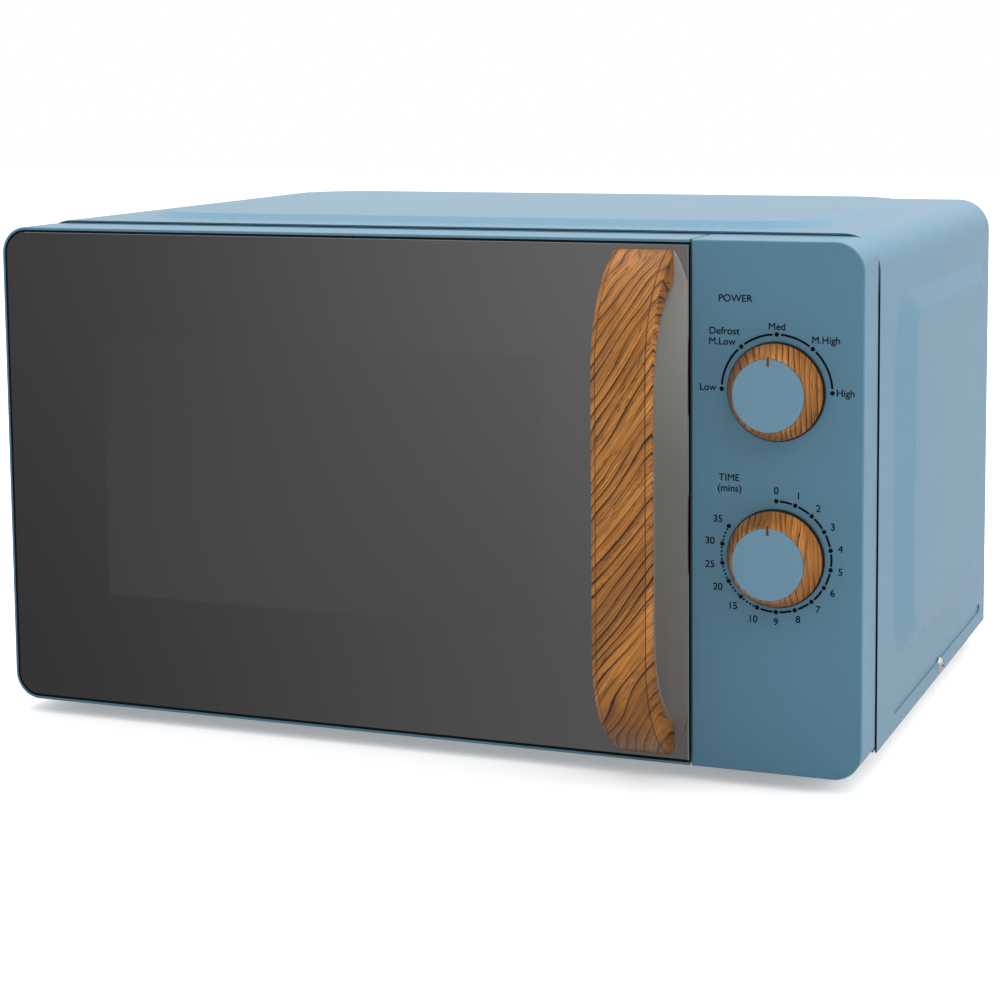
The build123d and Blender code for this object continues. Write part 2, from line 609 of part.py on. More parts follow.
def cavity_lamp():
    x = WALL_X
    lamp = block((x, x + 1.2), (LAMP_Y - 18.0, LAMP_Y - 13.0), (LAMP_Z - 12.0, LAMP_Z + 12.0))
    lamp += block((x, x + 34.0), (LAMP_Y - 18.0, LAMP_Y - 16.8), (LAMP_Z - 12.0, LAMP_Z + 12.0))
    lamp += rod_y(9.0, x + 18.0, (LAMP_Y - 16.8, LAMP_Y - 4.0), LAMP_Z)
    bulb = Pos(x + 18.0, LAMP_Y + 4.0, LAMP_Z) * Sphere(9.6)
    return lamp + bulb


def thermal_cutouts():
    """One cut-out on the magnetron yoke and one on the cavity's right wall."""
    top = TUBE_Z + TUBE_HALF
    on_yoke = rod_z(8.0, mid(YOKE_X), TUBE_Y, (top, top + 7.0))
    on_wall = rod_x(8.0, (WALL_X, WALL_X + 7.0), TUBE_Y + 42.0, TUBE_Z - 50.0)
    return [on_yoke, on_wall]


def filter_board():
    """Mains filter board on two posts, with its fuse, choke and capacitor."""
    y = BOARD_Y
    z = BOARD_Z
    x = WALL_X + 7.0
    board = block((x, x + 1.6), y, z)
    for y0, z0 in ((y[0] + 5.0, z[0] + 5.0), (y[1] - 5.0, z[1] - 5.0)):
        board += rod_x(3.0, (WALL_X, x), y0, z0)
    board += rod_y(3.0, x + 4.4, (y[0] + 8.0, y[0] + 30.0), z[1] - 8.0)
    board += rod_x(9.0, (x, x + 14.0), y[0] + 13.0, z[0] + 18.0)
    return board + block((x, x + 13.0), (y[1] - 18.0, y[1] - 8.0), (z[0] + 8.0, z[0] + 28.0))


def turntable_motor():
    """Flat geared motor under the dish, with two fixing ears."""
    z = (DISH_Z - SHEET - 15.0, DISH_Z - SHEET)
    motor = rod_z(24.5, CAV_XM, CAV_YM, z)
    motor += block((CAV_XM - 32.0, CAV_XM + 32.0), (CAV_YM - 6.0, CAV_YM + 6.0), (z[1] - 1.0, z[1]))
    motor += block((CAV_XM - 11.0, CAV_XM + 11.0), (CAV_YM + 20.0, CAV_YM + 31.0), (z[0], z[1] - 3.0))
    return motor - rod_z(COUPLER_STEM + RUNNING_FIT, CAV_XM, CAV_YM, (z[0] + 4.0, z[1] + 1.0))


# Turntable

def turntable_coupler():
    """Three-lobed drive piece under the tray, its stem in the motor."""
    low = DISH_Z + 1.0
    hub = rod_z(8.5, CAV_XM, CAV_YM, (low, TRAY_Z))
    hub += rod_z(COUPLER_STEM, CAV_XM, CAV_YM, (DISH_Z - SHEET - 9.0, low + 1.0))
    for turn in (30, 150, 270):
        lobe = block((0.0, 17.0), (-4.0, 4.0), (TRAY_Z - 5.0, TRAY_Z))
        hub += Pos(CAV_XM, CAV_YM, 0) * Rot(0, 0, turn) * lobe
    return hub


def glass_tray():
    """Round glass tray with a flat bottom and a raised, rounded rim."""
    top = TRAY_Z + TRAY_THICKNESS
    flat = TRAY_RADIUS - 16.0
    points = [(0, TRAY_Z), (flat, TRAY_Z), (TRAY_RADIUS - 4.0, TRAY_Z + 3.4), (TRAY_RADIUS, TRAY_Z + 8.0),
              (TRAY_RADIUS, top + TRAY_RIM), (TRAY_RADIUS - 4.0, top + TRAY_RIM),
              (TRAY_RADIUS - 7.0, top + 2.0), (flat, top), (0, top)]
    tray = Pos(CAV_XM, CAV_YM, 0) * turned_z(points)
    return fillet(tray.edges().group_by(Axis.Z)[-1], 1.6)


def roller_ring():
    """Hoop that carries three rollers on outward axles."""
    half = RING_WIDTH / 2
    outer = ROLLER_TRACK - ROLLER_WIDTH / 2 - 0.8
    ring = rod_z(outer, CAV_XM, CAV_YM, (ROLLER_Z - half, ROLLER_Z + half))
    ring -= rod_z(outer - RING_WIDTH, CAV_XM, CAV_YM, (ROLLER_Z - half - 1.0, ROLLER_Z + half + 1.0))
    for turn in (90, 210, 330):
        axle = rod_x(AXLE_RADIUS, (outer - 2.0, ROLLER_TRACK + ROLLER_WIDTH / 2 + 1.5), 0, ROLLER_Z)
        axle += rod_x(AXLE_RADIUS + 1.0, (ROLLER_TRACK + ROLLER_WIDTH / 2 + 0.4,
                                          ROLLER_TRACK + ROLLER_WIDTH / 2 + 1.5), 0, ROLLER_Z)
        ring += Pos(CAV_XM, CAV_YM, 0) * Rot(0, 0, turn) * axle
    return ring


def roller(turn):
    """One wheel of the ring, at a given angle round the turntable."""
    x = (ROLLER_TRACK - ROLLER_WIDTH / 2, ROLLER_TRACK + ROLLER_WIDTH / 2)
    wheel = chamfer(rod_x(ROLLER_RADIUS, x, 0, 0).edges().filter_by(GeomType.CIRCLE), 0.8)
    wheel -= rod_x(AXLE_RADIUS + RUNNING_FIT, (x[0] - 1.0, x[1] + 1.0), 0, 0)
    # Five small round holes let the turning show
    for step in range(5):
        hole = Rot(step * 72, 0, 0) * rod_x(0.8, (x[0] - 1.0, x[1] + 1.0), 0, 4.4)
        wheel -= hole
    return Pos(CAV_XM, CAV_YM, ROLLER_Z) * Rot(0, 0, turn) * wheel


# Control panel and dials

def control_panel():
    """Moulded panel, open at the back, with posts for the timer unit."""
    z = (FRONT_Z0, FRONT_Z1)
    panel = front_plate_of(outline((PANEL_LEFT, RIGHT), z, 0.0, FRONT_CORNER), (0.0, PANEL_DEPTH))
    panel = fillet(panel.faces().sort_by(Axis.Y)[0].edges(), 0.9)
    inner = outline((PANEL_LEFT + MOULDING, RIGHT - MOULDING), (z[0] + MOULDING, z[1] - MOULDING),
                    0.0, FRONT_CORNER - MOULDING)
    panel -= front_plate_of(inner, (PANEL_FACE, PANEL_DEPTH + 1.0))
    # The right-hand wall leans in towards the back
    lean = [(RIGHT, MOULDING), (RIGHT + 1.0, MOULDING), (RIGHT + 1.0, PANEL_DEPTH + 1.0),
            (RIGHT - PANEL_DRAFT, PANEL_DEPTH + 1.0)]
    panel -= Pos(0, 0, z[0] - 1.0) * extrude(Polygon(*lean, align=None), FRONT_HEIGHT + 2.0)
    for x, z0 in timer_posts():
        panel += rod_y(3.5, x, (PANEL_FACE - 0.5, TIMER_Y[0]), z0)
    for z0 in (POWER_DIAL_Z, TIME_DIAL_Z):
        panel -= rod_y(SPINDLE + 1.0, PANEL_X, (-1.0, PANEL_FACE + 1.0), z0)
    return panel


def timer_posts():
    """Places (x, z) where the panel holds the timer unit."""
    return grid([PANEL_X - TIMER_HALF[0] + 5.0, PANEL_X + TIMER_HALF[0] - 5.0],
                [DIALS_Z - TIMER_HALF[1] + 5.0, DIALS_Z + TIMER_HALF[1] - 5.0])


def timer_unit():
    """Timer and power selector in one case with two spindle holes and a bell."""
    x = (PANEL_X - TIMER_HALF[0], PANEL_X + TIMER_HALF[0])
    z = (DIALS_Z - TIMER_HALF[1], DIALS_Z + TIMER_HALF[1])
    unit = block(x, (TIMER_Y[0], TIMER_Y[0] + 2.0), z)
    unit += block((x[0] + 4.0, x[1] - 4.0), (TIMER_Y[0], TIMER_Y[1]), (z[0] + 10.0, z[1] - 10.0))
    unit += rod_y(14.0, PANEL_X, (TIMER_Y[1], TIMER_Y[1] + 8.0), DIALS_Z)
    for z0 in (POWER_DIAL_Z, TIME_DIAL_Z):
        unit -= rod_y(SPINDLE + RUNNING_FIT, PANEL_X, (TIMER_Y[0] - 1.0, TIMER_Y[0] + 16.0), z0)
    return unit


def spindle(z):
    """Dark moulded spindle with the thin collar that shows round the knob."""
    shaft = rod_y(SPINDLE, 0, (-KNOB_HEIGHT + CAP_THICKNESS + 2.0, TIMER_Y[0] + 14.0), 0)
    shaft += rod_y(KNOB_BASE + 0.5, 0, (-KNOB_LIFT - COLLAR, -KNOB_LIFT), 0)
    return Pos(PANEL_X, 0, z) * shaft


def knob_ring(z):
    """Tapered ring with a hub and the small tongue that points at the scale."""
    back = -KNOB_LIFT - COLLAR
    seat = -KNOB_HEIGHT + CAP_THICKNESS
    edge = CAP_RADIUS + RUNNING_FIT
    wall = MOULDING
    points = [(SPINDLE + RUNNING_FIT, back), (7.0, back), (7.0, seat + 2.0), (edge - 1.0, seat + 2.0),
              (KNOB_BASE - wall, back), (KNOB_BASE, back), (KNOB_BASE, back - 1.0),
              (KNOB_FRONT, -KNOB_HEIGHT + 0.4), (KNOB_FRONT - 0.4, -KNOB_HEIGHT), (edge, -KNOB_HEIGHT),
              (edge, seat), (SPINDLE + RUNNING_FIT, seat)]
    ring = turned_y(points)
    tongue = block((-POINTER[0] / 2, POINTER[0] / 2), (-KNOB_HEIGHT, seat),
                   (CAP_RADIUS - POINTER[1], CAP_RADIUS + 0.5))
    return Pos(PANEL_X, 0, z) * (ring + tongue)


def knob_cap(z):
    """Front disc of the knob, notched for the pointer tongue."""
    cap = rod_y(CAP_RADIUS, 0, (-KNOB_HEIGHT, -KNOB_HEIGHT + CAP_THICKNESS), 0)
    cap = fillet(cap.edges().group_by(Axis.Y)[0], 0.4)
    width = POINTER[0] / 2 + RUNNING_FIT
    notch = block((-width, width), (-KNOB_HEIGHT - 1.0, 0.0),
                  (CAP_RADIUS - POINTER[1] - RUNNING_FIT, CAP_RADIUS + 1.0))
    return Pos(PANEL_X, 0, z) * (cap - notch)


# Door

def door_bezel():
    """Frame of the door: a thin rim round the glass, a ledge behind it and deep walls."""
    z = (FRONT_Z0, FRONT_Z1)
    x = (LEFT, DOOR_RIGHT)
    frame = front_plate_of(outline(x, z, FRONT_CORNER), (0.0, DOOR_DEPTH))
    frame = fillet(frame.faces().sort_by(Axis.Y)[0].edges(), 0.6)
    pocket = outline((LEFT + RIM, DOOR_RIGHT + 2.0), (z[0] + RIM, z[1] - RIM), FRONT_CORNER - RIM)
    frame -= front_plate_of(pocket, (-1.0, GLASS))
    hollow = outline((LEFT + MOULDING, DOOR_RIGHT - MOULDING), (z[0] + MOULDING, z[1] - MOULDING),
                     FRONT_CORNER - MOULDING)
    frame -= front_plate_of(hollow, (GLASS + LEDGE, DOOR_DEPTH + 1.0))
    side = MOULDING + LEDGE_SIDE
    end = MOULDING + LEDGE_END
    sight = outline((LEFT + side, DOOR_RIGHT - side), (z[0] + end, z[1] - end), 6.0, 6.0)
    frame -= front_plate_of(sight, (GLASS - 1.0, GLASS + LEDGE + 1.0))
    for z0 in handle_screw_heights():
        frame -= rod_y(2.2, HANDLE_X, (GLASS - 1.0, GLASS + LEDGE + 1.0), z0)
    # Slots in the left wall for the two hinge arms
    for z0 in (HINGE_Z - HINGE_ARM / 2, 2 * FRONT_ZM - HINGE_Z + HINGE_ARM / 2):
        reach = (HINGE_DEPTH - 6.5, DOOR_DEPTH + 1.0)
        frame -= block((LEFT - 1.0, HINGE_X), reach, (z0 - HINGE_ARM / 2 - 0.5, z0 + HINGE_ARM / 2 + 0.5))
    return frame


def glass_outline(margin):
    z = (FRONT_Z0 + RIM + margin, FRONT_Z1 - RIM - margin)
    return outline((LEFT + RIM + margin, DOOR_RIGHT - 0.3), z, FRONT_CORNER - RIM - margin)


def door_glass():
    glass = front_plate_of(glass_outline(GASKET), (0.0, GLASS))
    glass = chamfer(glass.faces().sort_by(Axis.Y)[0].edges(), 0.4)
    for z0 in handle_screw_heights():
        glass -= rod_y(2.4, HANDLE_X, (-1.0, GLASS + 1.0), z0)
    return glass


def glass_gasket():
    """Dark seal between the rim and the glass, set a little below both."""
    ring = front_plate_of(glass_outline(0.0), (0.5, GLASS))
    cut = outline((LEFT + RIM + GASKET, DOOR_RIGHT + 2.0),
                  (FRONT_Z0 + RIM + GASKET, FRONT_Z1 - RIM - GASKET), FRONT_CORNER - RIM - GASKET)
    return ring - front_plate_of(cut, (0.0, GLASS + 1.0))


def hook_slots(gap):
    """Openings that the two latch hooks slide up and down in."""
    half = LATCH_WIDTH / 2 + gap
    for z in HOOK_Z:
        limits = (z - HOOK_HEIGHT / 2 - gap, z + HOOK_HEIGHT / 2 + HOOK_TRAVEL + gap)
        yield block((LATCH_X - half, LATCH_X + half), (0.0, DOOR_DEPTH + 10.0), limits)


def door_inner_frame():
    """Steel pan of the door with its window, hook slots and spring post."""
    pan = front_plate_of(outline(PAN_X, PAN_Z, 9.0), (PAN_DEPTH - 10.0, PAN_DEPTH + SHEET))
    inner = outline((PAN_X[0] + SHEET, PAN_X[1] - SHEET), (PAN_Z[0] + SHEET, PAN_Z[1] - SHEET), 8.2)
    pan -= front_plate_of(inner, (PAN_DEPTH - 11.0, PAN_DEPTH))
    pan -= block(WINDOW_X, (PAN_DEPTH - 1.0, PAN_DEPTH + 2.0), WINDOW_Z)
    for slot in hook_slots(0.5):
        pan -= slot
    post = LATCH_Z[0] - SPRING_LENGTH
    pan += block((LATCH_X - 3.0, LATCH_X + 3.0), (PAN_DEPTH - 12.0, PAN_DEPTH), (post - 3.0, post))
    return pan


def door_screen():
    """Fine perforated sheet over the window; the holes themselves are not drawn."""
    x = (WINDOW_X[0] - 7.0, WINDOW_X[1] + 7.0)
    z = (WINDOW_Z[0] - 7.0, WINDOW_Z[1] + 7.0)
    y = PAN_DEPTH + SHEET
    return block(x, (y, y + SCREEN), z)


def inner_window():
    """Clear pane on the oven side of the screen."""
    x = (WINDOW_X[0] - 7.0, WINDOW_X[1] + 7.0)
    z = (WINDOW_Z[0] - 7.0, WINDOW_Z[1] + 7.0)
    y = PAN_DEPTH + SHEET + SCREEN
    return block(x, (y, y + INNER_PANE), z)


def choke_cover():
    """Moulded frame on the oven side of the door."""
    x = (PAN_X[0] + 1.0, PAN_X[1] - 1.0)
    z = (PAN_Z[0] + 1.0, PAN_Z[1] - 1.0)
    y = (PAN_DEPTH + SHEET, PLATE_Y - DOOR_CLEARANCE)
    frame = front_plate_of(outline(x, z, 8.0, 4.0), y)
    frame = fillet(frame.faces().sort_by(Axis.Y)[-1].edges(), 1.4)
    seat = 7.0 + SEAT_GAP
    deep = (y[0] - 1.0, y[0] + SCREEN + INNER_PANE)
    frame -= block((WINDOW_X[0] - seat, WINDOW_X[1] + seat), deep, (WINDOW_Z[0] - seat, WINDOW_Z[1] + seat))
    sight_z = (WINDOW_Z[0] - 2.0, WINDOW_Z[1] + 2.0)
    sight = outline((WINDOW_X[0] - 2.0, WINDOW_X[1] + 2.0), sight_z, 5.0, 5.0)
    frame -= front_plate_of(sight, (y[0] - 1.0, y[1] + 1.0))
    rim = y[0] + SCREEN + INNER_PANE + 1.6
    back = outline((WINDOW_X[1] + 12.0, x[1] - 2.0), (z[0] + 2.0, z[1] - 2.0))
    frame -= front_plate_of(back, (y[0] - 1.0, rim))
    for slot in hook_slots(0.5):
        frame -= slot
    return frame


def door_bushes():
    """Lower and upper bearing block of the door."""
    x = (LEFT + MOULDING + SEAT_GAP, PAN_X[0])
    y = (HINGE_DEPTH - 6.0, HINGE_DEPTH + 4.5)
    bush = block(x, y, (HINGE_Z + 0.5, HINGE_Z + 13.0))
    bush -= rod_z(HINGE_PIN + RUNNING_FIT, HINGE_X, HINGE_DEPTH, (HINGE_Z, HINGE_Z + 11.5))
    return [bush, Pos(0, 0, 2 * FRONT_ZM) * mirror(bush, Plane.XY)]


# Handle

def handle_screw_heights():
    return (HANDLE_Z[0] + 8.0, HANDLE_Z[1] - 8.0)


def arch_area(reach, bend, ends, tip):
    """Side view (y, z) between the door's face and a bow: round ends, straight middle."""
    drop = reach - tip
    run = math.sqrt(bend ** 2 - (bend - drop) ** 2)
    half = math.atan2(run, bend - drop) / 2
    side = bend * math.cos(half) - bend
    lift = bend * math.sin(half)
    low = ends[0] + run
    high = ends[1] - run
    lines = [ThreePointArc((-tip, ends[0]), (-reach - side, low - lift), (-reach, low)),
             Line((-reach, low), (-reach, high)),
             ThreePointArc((-reach, high), (-reach - side, high + lift), (-tip, ends[1])),
             Polyline((-tip, ends[1]), (0.0, ends[1]), (0.0, ends[0]), (-tip, ends[0]))]
    edges = [edge for line in lines for edge in line.edges()]
    return make_face(edges)


def grip_area(offset):
    """Side view of the space behind the handle, grown or shrunk by an offset."""
    ends = (HANDLE_Z[0] + GRIP_MARGIN - offset, HANDLE_Z[1] - GRIP_MARGIN + offset)
    return arch_area(GRIP_REACH + offset, GRIP_BEND + offset, ends, 0.01)


def handle_shell():
    """Bowed bar with bevelled edges, both ends on the glass."""
    x = (HANDLE_X - HANDLE_WIDTH / 2, HANDLE_X + HANDLE_WIDTH / 2)
    bar = side_plate_of(arch_area(HANDLE_REACH, HANDLE_BEND, HANDLE_Z, HANDLE_TIP), x)
    front = bar.faces().sort_by(Axis.Y)[0]
    long_edges = front.edges().filter_by(Axis.Z)
    bar = chamfer(long_edges, HANDLE_BEVEL[0], HANDLE_BEVEL[1], reference=front)
    bar -= side_plate_of(grip_area(0.0), (x[0] - 1.0, x[1] + 1.0))
    bar -= side_plate_of(grip_area(GRIP_POCKET + 0.1), (x[0] + 2.4, x[1] - 2.4))
    for z0 in handle_screw_heights():
        bar -= rod_y(2.0, HANDLE_X, (-7.0, 1.0), z0)
    return bar


def handle_back():
    """Lighter liner in the back of the handle, its rim over the bar's inner edges."""
    x = (HANDLE_X - HANDLE_WIDTH / 2, HANDLE_X + HANDLE_WIDTH / 2)
    liner = side_plate_of(grip_area(GRIP_POCKET), (x[0] + 2.5, x[1] - 2.5))
    liner += side_plate_of(grip_area(0.0), x)
    return liner - side_plate_of(grip_area(-GRIP_PAD), (x[0] - 1.0, x[1] + 1.0))


def handle_screws():
    """Two screws from inside the door through the glass into the handle's ends."""
    screws = []
    head = GLASS + LEDGE
    for z0 in handle_screw_heights():
        screw = rod_y(2.0 - RUNNING_FIT, HANDLE_X, (-6.5, head + 0.5), z0)
        screws.append(screw + rod_y(4.0, HANDLE_X, (head, head + 2.6), z0))
    return screws


# Latch

def latch_lever():
    """Upright lever in the door with two hooks through to the oven's front."""
    x = (LATCH_X - LATCH_WIDTH / 2, LATCH_X + LATCH_WIDTH / 2)
    lever = block(x, (GLASS + LEDGE + 5.0, PAN_DEPTH - 1.0), LATCH_Z)
    for z in HOOK_Z:
        low = z - HOOK_HEIGHT / 2
        lever += block(x, (PAN_DEPTH - 2.0, HOOK_REACH), (low, z + HOOK_HEIGHT / 2))
        nose = Polygon((HOOK_REACH - 9.0, low), (HOOK_REACH - 9.0, low - HOOK_NOSE),
                       (HOOK_REACH - 4.0, low - HOOK_NOSE), (HOOK_REACH, low), align=None)
        lever += side_plate_of(nose, x)
    return lever


def latch_spring():
    """Coil that pulls the lever down."""
    ends = (LATCH_Z[0] - SPRING_LENGTH + 2 * SPRING_WIRE, LATCH_Z[0] - 2 * SPRING_WIRE)
    height = ends[1] - ends[0]
    path = Helix(height / SPRING_TURNS, height, SPRING_RADIUS)
    coil = sweep(Plane(path @ 0, z_dir=path % 0) * Circle(SPRING_WIRE), path)
    return Pos(LATCH_X, (GLASS + LEDGE + PAN_DEPTH + 4.0) / 2, ends[0]) * coil


def latch_board():
    """Moulded board behind the front plate with a catch under each hook."""
    x = (LATCH_X + LATCH_WIDTH / 2 + 6.0, LATCH_X + LATCH_WIDTH / 2 + 9.0)
    board = block(x, (INSIDE_Y, SWITCH_Y + 22.0), (LATCH_Z[0] - 3.0, LATCH_Z[1] + 10.0))
    for z in HOOK_Z:
        top = z - HOOK_HEIGHT / 2 - HOOK_NOSE - 0.6
        board += block((LATCH_X - 6.0, x[0] + 1.0), (HOOK_REACH - 14.0, HOOK_REACH - 9.5), (top - 7.0, top))
    return board


def switch_places():
    """Heights of the three switches: one at the upper hook, two at the lower."""
    return (HOOK_Z[1], HOOK_Z[0] - 7.5, HOOK_Z[0] + 7.5)


def microswitches():
    """Three switch cases on the latch board."""
    x = (LATCH_X - 5.0, LATCH_X + LATCH_WIDTH / 2 + 6.0)
    cases = []
    for z, rise in zip(switch_places(), (0.0, -7.0, 7.0)):
        half = 14.0 if rise == 0.0 else 7.2
        case = block(x, (SWITCH_Y, SWITCH_Y + 16.0), (z + rise - half, z + rise + half))
        cases.append(case - rod_y(1.6 + RUNNING_FIT, LATCH_X, (SWITCH_Y - 1.0, SWITCH_Y + 5.0), z))
    return cases


def switch_buttons():
    """Buttons of the three switches, in line with the hook tips."""
    reach = (HOOK_REACH + MOVING_GAP, SWITCH_Y + 3.0)
    return [rod_y(1.6, LATCH_X, reach, z) for z in switch_places()]


# Feet and screws

def feet():
    stand = []
    rows = [COVER_Y + FOOT_INSET, BODY_DEPTH - FOOT_INSET]
    for x, y in grid([-CAB_X + FOOT_INSET, CAB_X - FOOT_INSET], rows):
        foot = rod_z(FOOT_RADIUS, x, y, (0.0, FOOT_HEIGHT))
        stand.append(chamfer(foot.edges().group_by(Axis.Z)[0], 1.2))
    return stand


def dome_screw(length):
    """Round-headed screw pointing along y with its head towards +y."""
    sphere = (SCREW_HEAD ** 2 + SCREW_DOME ** 2) / (2 * SCREW_DOME)
    head = Pos(0, SCREW_DOME - sphere, 0) * Sphere(sphere)
    wide = SCREW_HEAD + 1.0
    head &= block((-wide, wide), (0.0, SCREW_DOME + 1.0), (-wide, wide))
    slot = block((-0.5, 0.5), (SCREW_DOME - 1.2, SCREW_DOME + 1.0), (-2.2, 2.2))
    cross = slot + block((-2.2, 2.2), (SCREW_DOME - 1.2, SCREW_DOME + 1.0), (-0.5, 0.5))
    return head + rod_y(SCREW_SHANK, 0, (-length, 0.5), 0) - cross


def cover_screws():
    screws = [Pos(x, BODY_DEPTH, z) * dome_screw(8.0) for x, z in rear_screws()]
    z = CAB_Z0 + SIDE_SCREW[1]
    for side in (-1, 1):
        turn = Rot(0, 0, -90 * side)
        screws.append(Pos(side * CAB_X, SIDE_SCREW[0], z) * turn * dome_screw(7.0))
    return screws


PARTS = {
    "outer_cover": outer_cover,
    "base_plate": base_plate,
    "back_plate": back_plate,
    "front_plate": front_plate,
    "hinge_brackets": hinge_brackets,
    "cavity_shell": cavity_shell,
    "cavity_top": cavity_top,
    "cavity_back": cavity_back,
    "waveguide": waveguide,
    "waveguide_cover": waveguide_cover,
    "magnetron_yoke": magnetron_yoke,
    "magnetron_tube": magnetron_tube,
    "magnetron_filter_box": magnetron_filter_box,
    "transformer_core": transformer_core,
    "transformer_coils": transformer_coils,
    "capacitor": capacitor,
    "capacitor_strap": capacitor_strap,
    "hv_diode": hv_diode,
    "fan_duct": fan_duct,
    "fan_motor": fan_motor,
    "fan_blade": fan_blade,
    "cavity_lamp": cavity_lamp,
    "thermal_cutouts": thermal_cutouts,
    "filter_board": filter_board,
    "mains_gland": mains_gland,
    "turntable_motor": turntable_motor,
    "turntable_coupler": turntable_coupler,
    "glass_tray": glass_tray,
    "roller_ring": roller_ring,
    "roller_1": lambda: roller(90),
    "roller_2": lambda: roller(210),
    "roller_3": lambda: roller(330),
    "control_panel": control_panel,
    "timer_unit": timer_unit,
    "power_spindle": lambda: spindle(POWER_DIAL_Z),
    "power_knob_ring": lambda: knob_ring(POWER_DIAL_Z),
    "power_knob_cap": lambda: knob_cap(POWER_DIAL_Z),
    "timer_spindle": lambda: spindle(TIME_DIAL_Z),
    "timer_knob_ring": lambda: knob_ring(TIME_DIAL_Z),
    "timer_knob_cap": lambda: knob_cap(TIME_DIAL_Z),
    "door_bezel": door_bezel,
    "door_glass": door_glass,
    "glass_gasket": glass_gasket,
    "door_inner_frame": door_inner_frame,
    "door_screen": door_screen,
    "inner_window": inner_window,
    "choke_cover": choke_cover,
    "door_bushes": door_bushes,
    "handle_shell": handle_shell,
    "handle_back": handle_back,
    "handle_screws": handle_screws,
    "latch_lever": latch_lever,
    "latch_spring": latch_spring,
    "latch_board": latch_board,
    "microswitches": microswitches,
    "switch_buttons": switch_buttons,
    "feet": feet,
    "cover_screws": cover_screws,
}


def main():
    os.makedirs("parts", exist_ok=True)
    for name, make in PARTS.items():
        made = make()
        shape = Compound(children=made) if isinstance(made, list) else made
        export_step(Pos(0, FRONT_Y, 0) * shape, f"parts/{name}.step")


if __name__ == "__main__":
    main()
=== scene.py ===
import math

import bmesh
import bpy
from mathutils import Matrix, Vector


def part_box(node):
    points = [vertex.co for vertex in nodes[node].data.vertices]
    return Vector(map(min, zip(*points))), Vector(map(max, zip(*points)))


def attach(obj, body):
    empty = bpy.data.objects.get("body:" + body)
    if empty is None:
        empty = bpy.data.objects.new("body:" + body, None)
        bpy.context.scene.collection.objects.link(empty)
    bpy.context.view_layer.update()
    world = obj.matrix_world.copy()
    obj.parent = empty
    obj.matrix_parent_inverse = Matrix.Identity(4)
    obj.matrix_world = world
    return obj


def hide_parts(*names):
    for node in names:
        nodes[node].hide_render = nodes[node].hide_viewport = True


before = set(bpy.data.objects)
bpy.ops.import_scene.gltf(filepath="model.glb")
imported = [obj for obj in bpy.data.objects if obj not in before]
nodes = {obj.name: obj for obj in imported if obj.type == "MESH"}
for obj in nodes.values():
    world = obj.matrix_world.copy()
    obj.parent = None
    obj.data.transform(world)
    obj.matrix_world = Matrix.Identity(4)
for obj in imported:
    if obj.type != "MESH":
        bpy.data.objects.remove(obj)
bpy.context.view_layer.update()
scene = bpy.context.scene
scene.view_settings.view_transform = "Standard"
MM = 0.001

# Places on the oven, in millimetres
FACE_Y = -143.65
PANEL_X = 183.05
POWER_Z = 184.5
TIME_Z = 108.25
HANDLE_X = 120.4
HANDLE_HALF = 14.4
FRONT_MID_Z = 130.0
WINDOW_X = (-165.6, 70.4)
WINDOW_Z = (66.0, 197.0)
COVER_EDGE = -107.45


# Camera at the photograph's viewing angle

CAMERA_AT = (0.4526, -1.16505, 0.3298)
CAMERA_YAW = 21.535
CAMERA_DOWN = 6.32
CAMERA_ROLL = -0.545
CAMERA_LENS = 84.711
CAMERA_SHIFT = -0.17


def make_camera():
    yaw = math.radians(CAMERA_YAW)
    down = math.radians(CAMERA_DOWN)
    roll = math.radians(CAMERA_ROLL)
    level = Vector((-math.sin(yaw), math.cos(yaw), 0.0))
    right = Vector((math.cos(yaw), math.sin(yaw), 0.0))
    top = Vector((0.0, 0.0, 1.0))
    ahead = level * math.cos(down) - top * math.sin(down)
    above = top * math.cos(down) + level * math.sin(down)
    side = right * math.cos(roll) + above * math.sin(roll)
    above = above * math.cos(roll) - right * math.sin(roll)
    turn = Matrix((side, above, -ahead)).transposed().to_4x4()
    data = bpy.data.cameras.new("camera")
    data.lens = CAMERA_LENS
    data.sensor_width = 36.0
    data.shift_y = CAMERA_SHIFT
    camera = bpy.data.objects.new("camera", data)
    camera.matrix_world = Matrix.Translation(CAMERA_AT) @ turn
    scene.collection.objects.link(camera)
    scene.camera = camera


# Material helpers

NOISE_ENDS = (0.3, 0.7)


def rgb(red, green, blue):
    """A colour written as 0 to 255 values, made linear."""
    out = []
    for value in (red, green, blue):
        v = value / 255
        out.append(v / 12.92 if v <= 0.04045 else ((v + 0.055) / 1.055) ** 2.4)
    return (*out, 1.0)


class Nodes:
    """The nodes of a finish or of the surroundings."""

    def __init__(self, tree):
        self.tree = tree

    def add(self, kind, inputs=None, out=0, **options):
        node = self.tree.nodes.new(kind)
        for key, value in options.items():
            setattr(node, key, value)
        for key, value in (inputs or {}).items():
            if isinstance(value, bpy.types.NodeSocket):
                self.tree.links.new(value, node.inputs[key])
            else:
                node.inputs[key].default_value = value
        return node.outputs[out] if node.outputs else None

    def math(self, operation, a, b=0.0, c=0.0):
        return self.add("ShaderNodeMath", {0: a, 1: b, 2: c}, operation=operation)

    def parts(self, vector):
        split = self.tree.nodes.new("ShaderNodeSeparateXYZ")
        self.tree.links.new(vector, split.inputs[0])
        return list(split.outputs)

    def span(self, value, low, high, to_low=0.0, to_high=1.0):
        """The value's way from low to high, turned smoothly into the way from to_low to to_high."""
        return self.add("ShaderNodeMapRange", {0: value, 1: low, 2: high, 3: to_low, 4: to_high},
                        interpolation_type="SMOOTHSTEP")


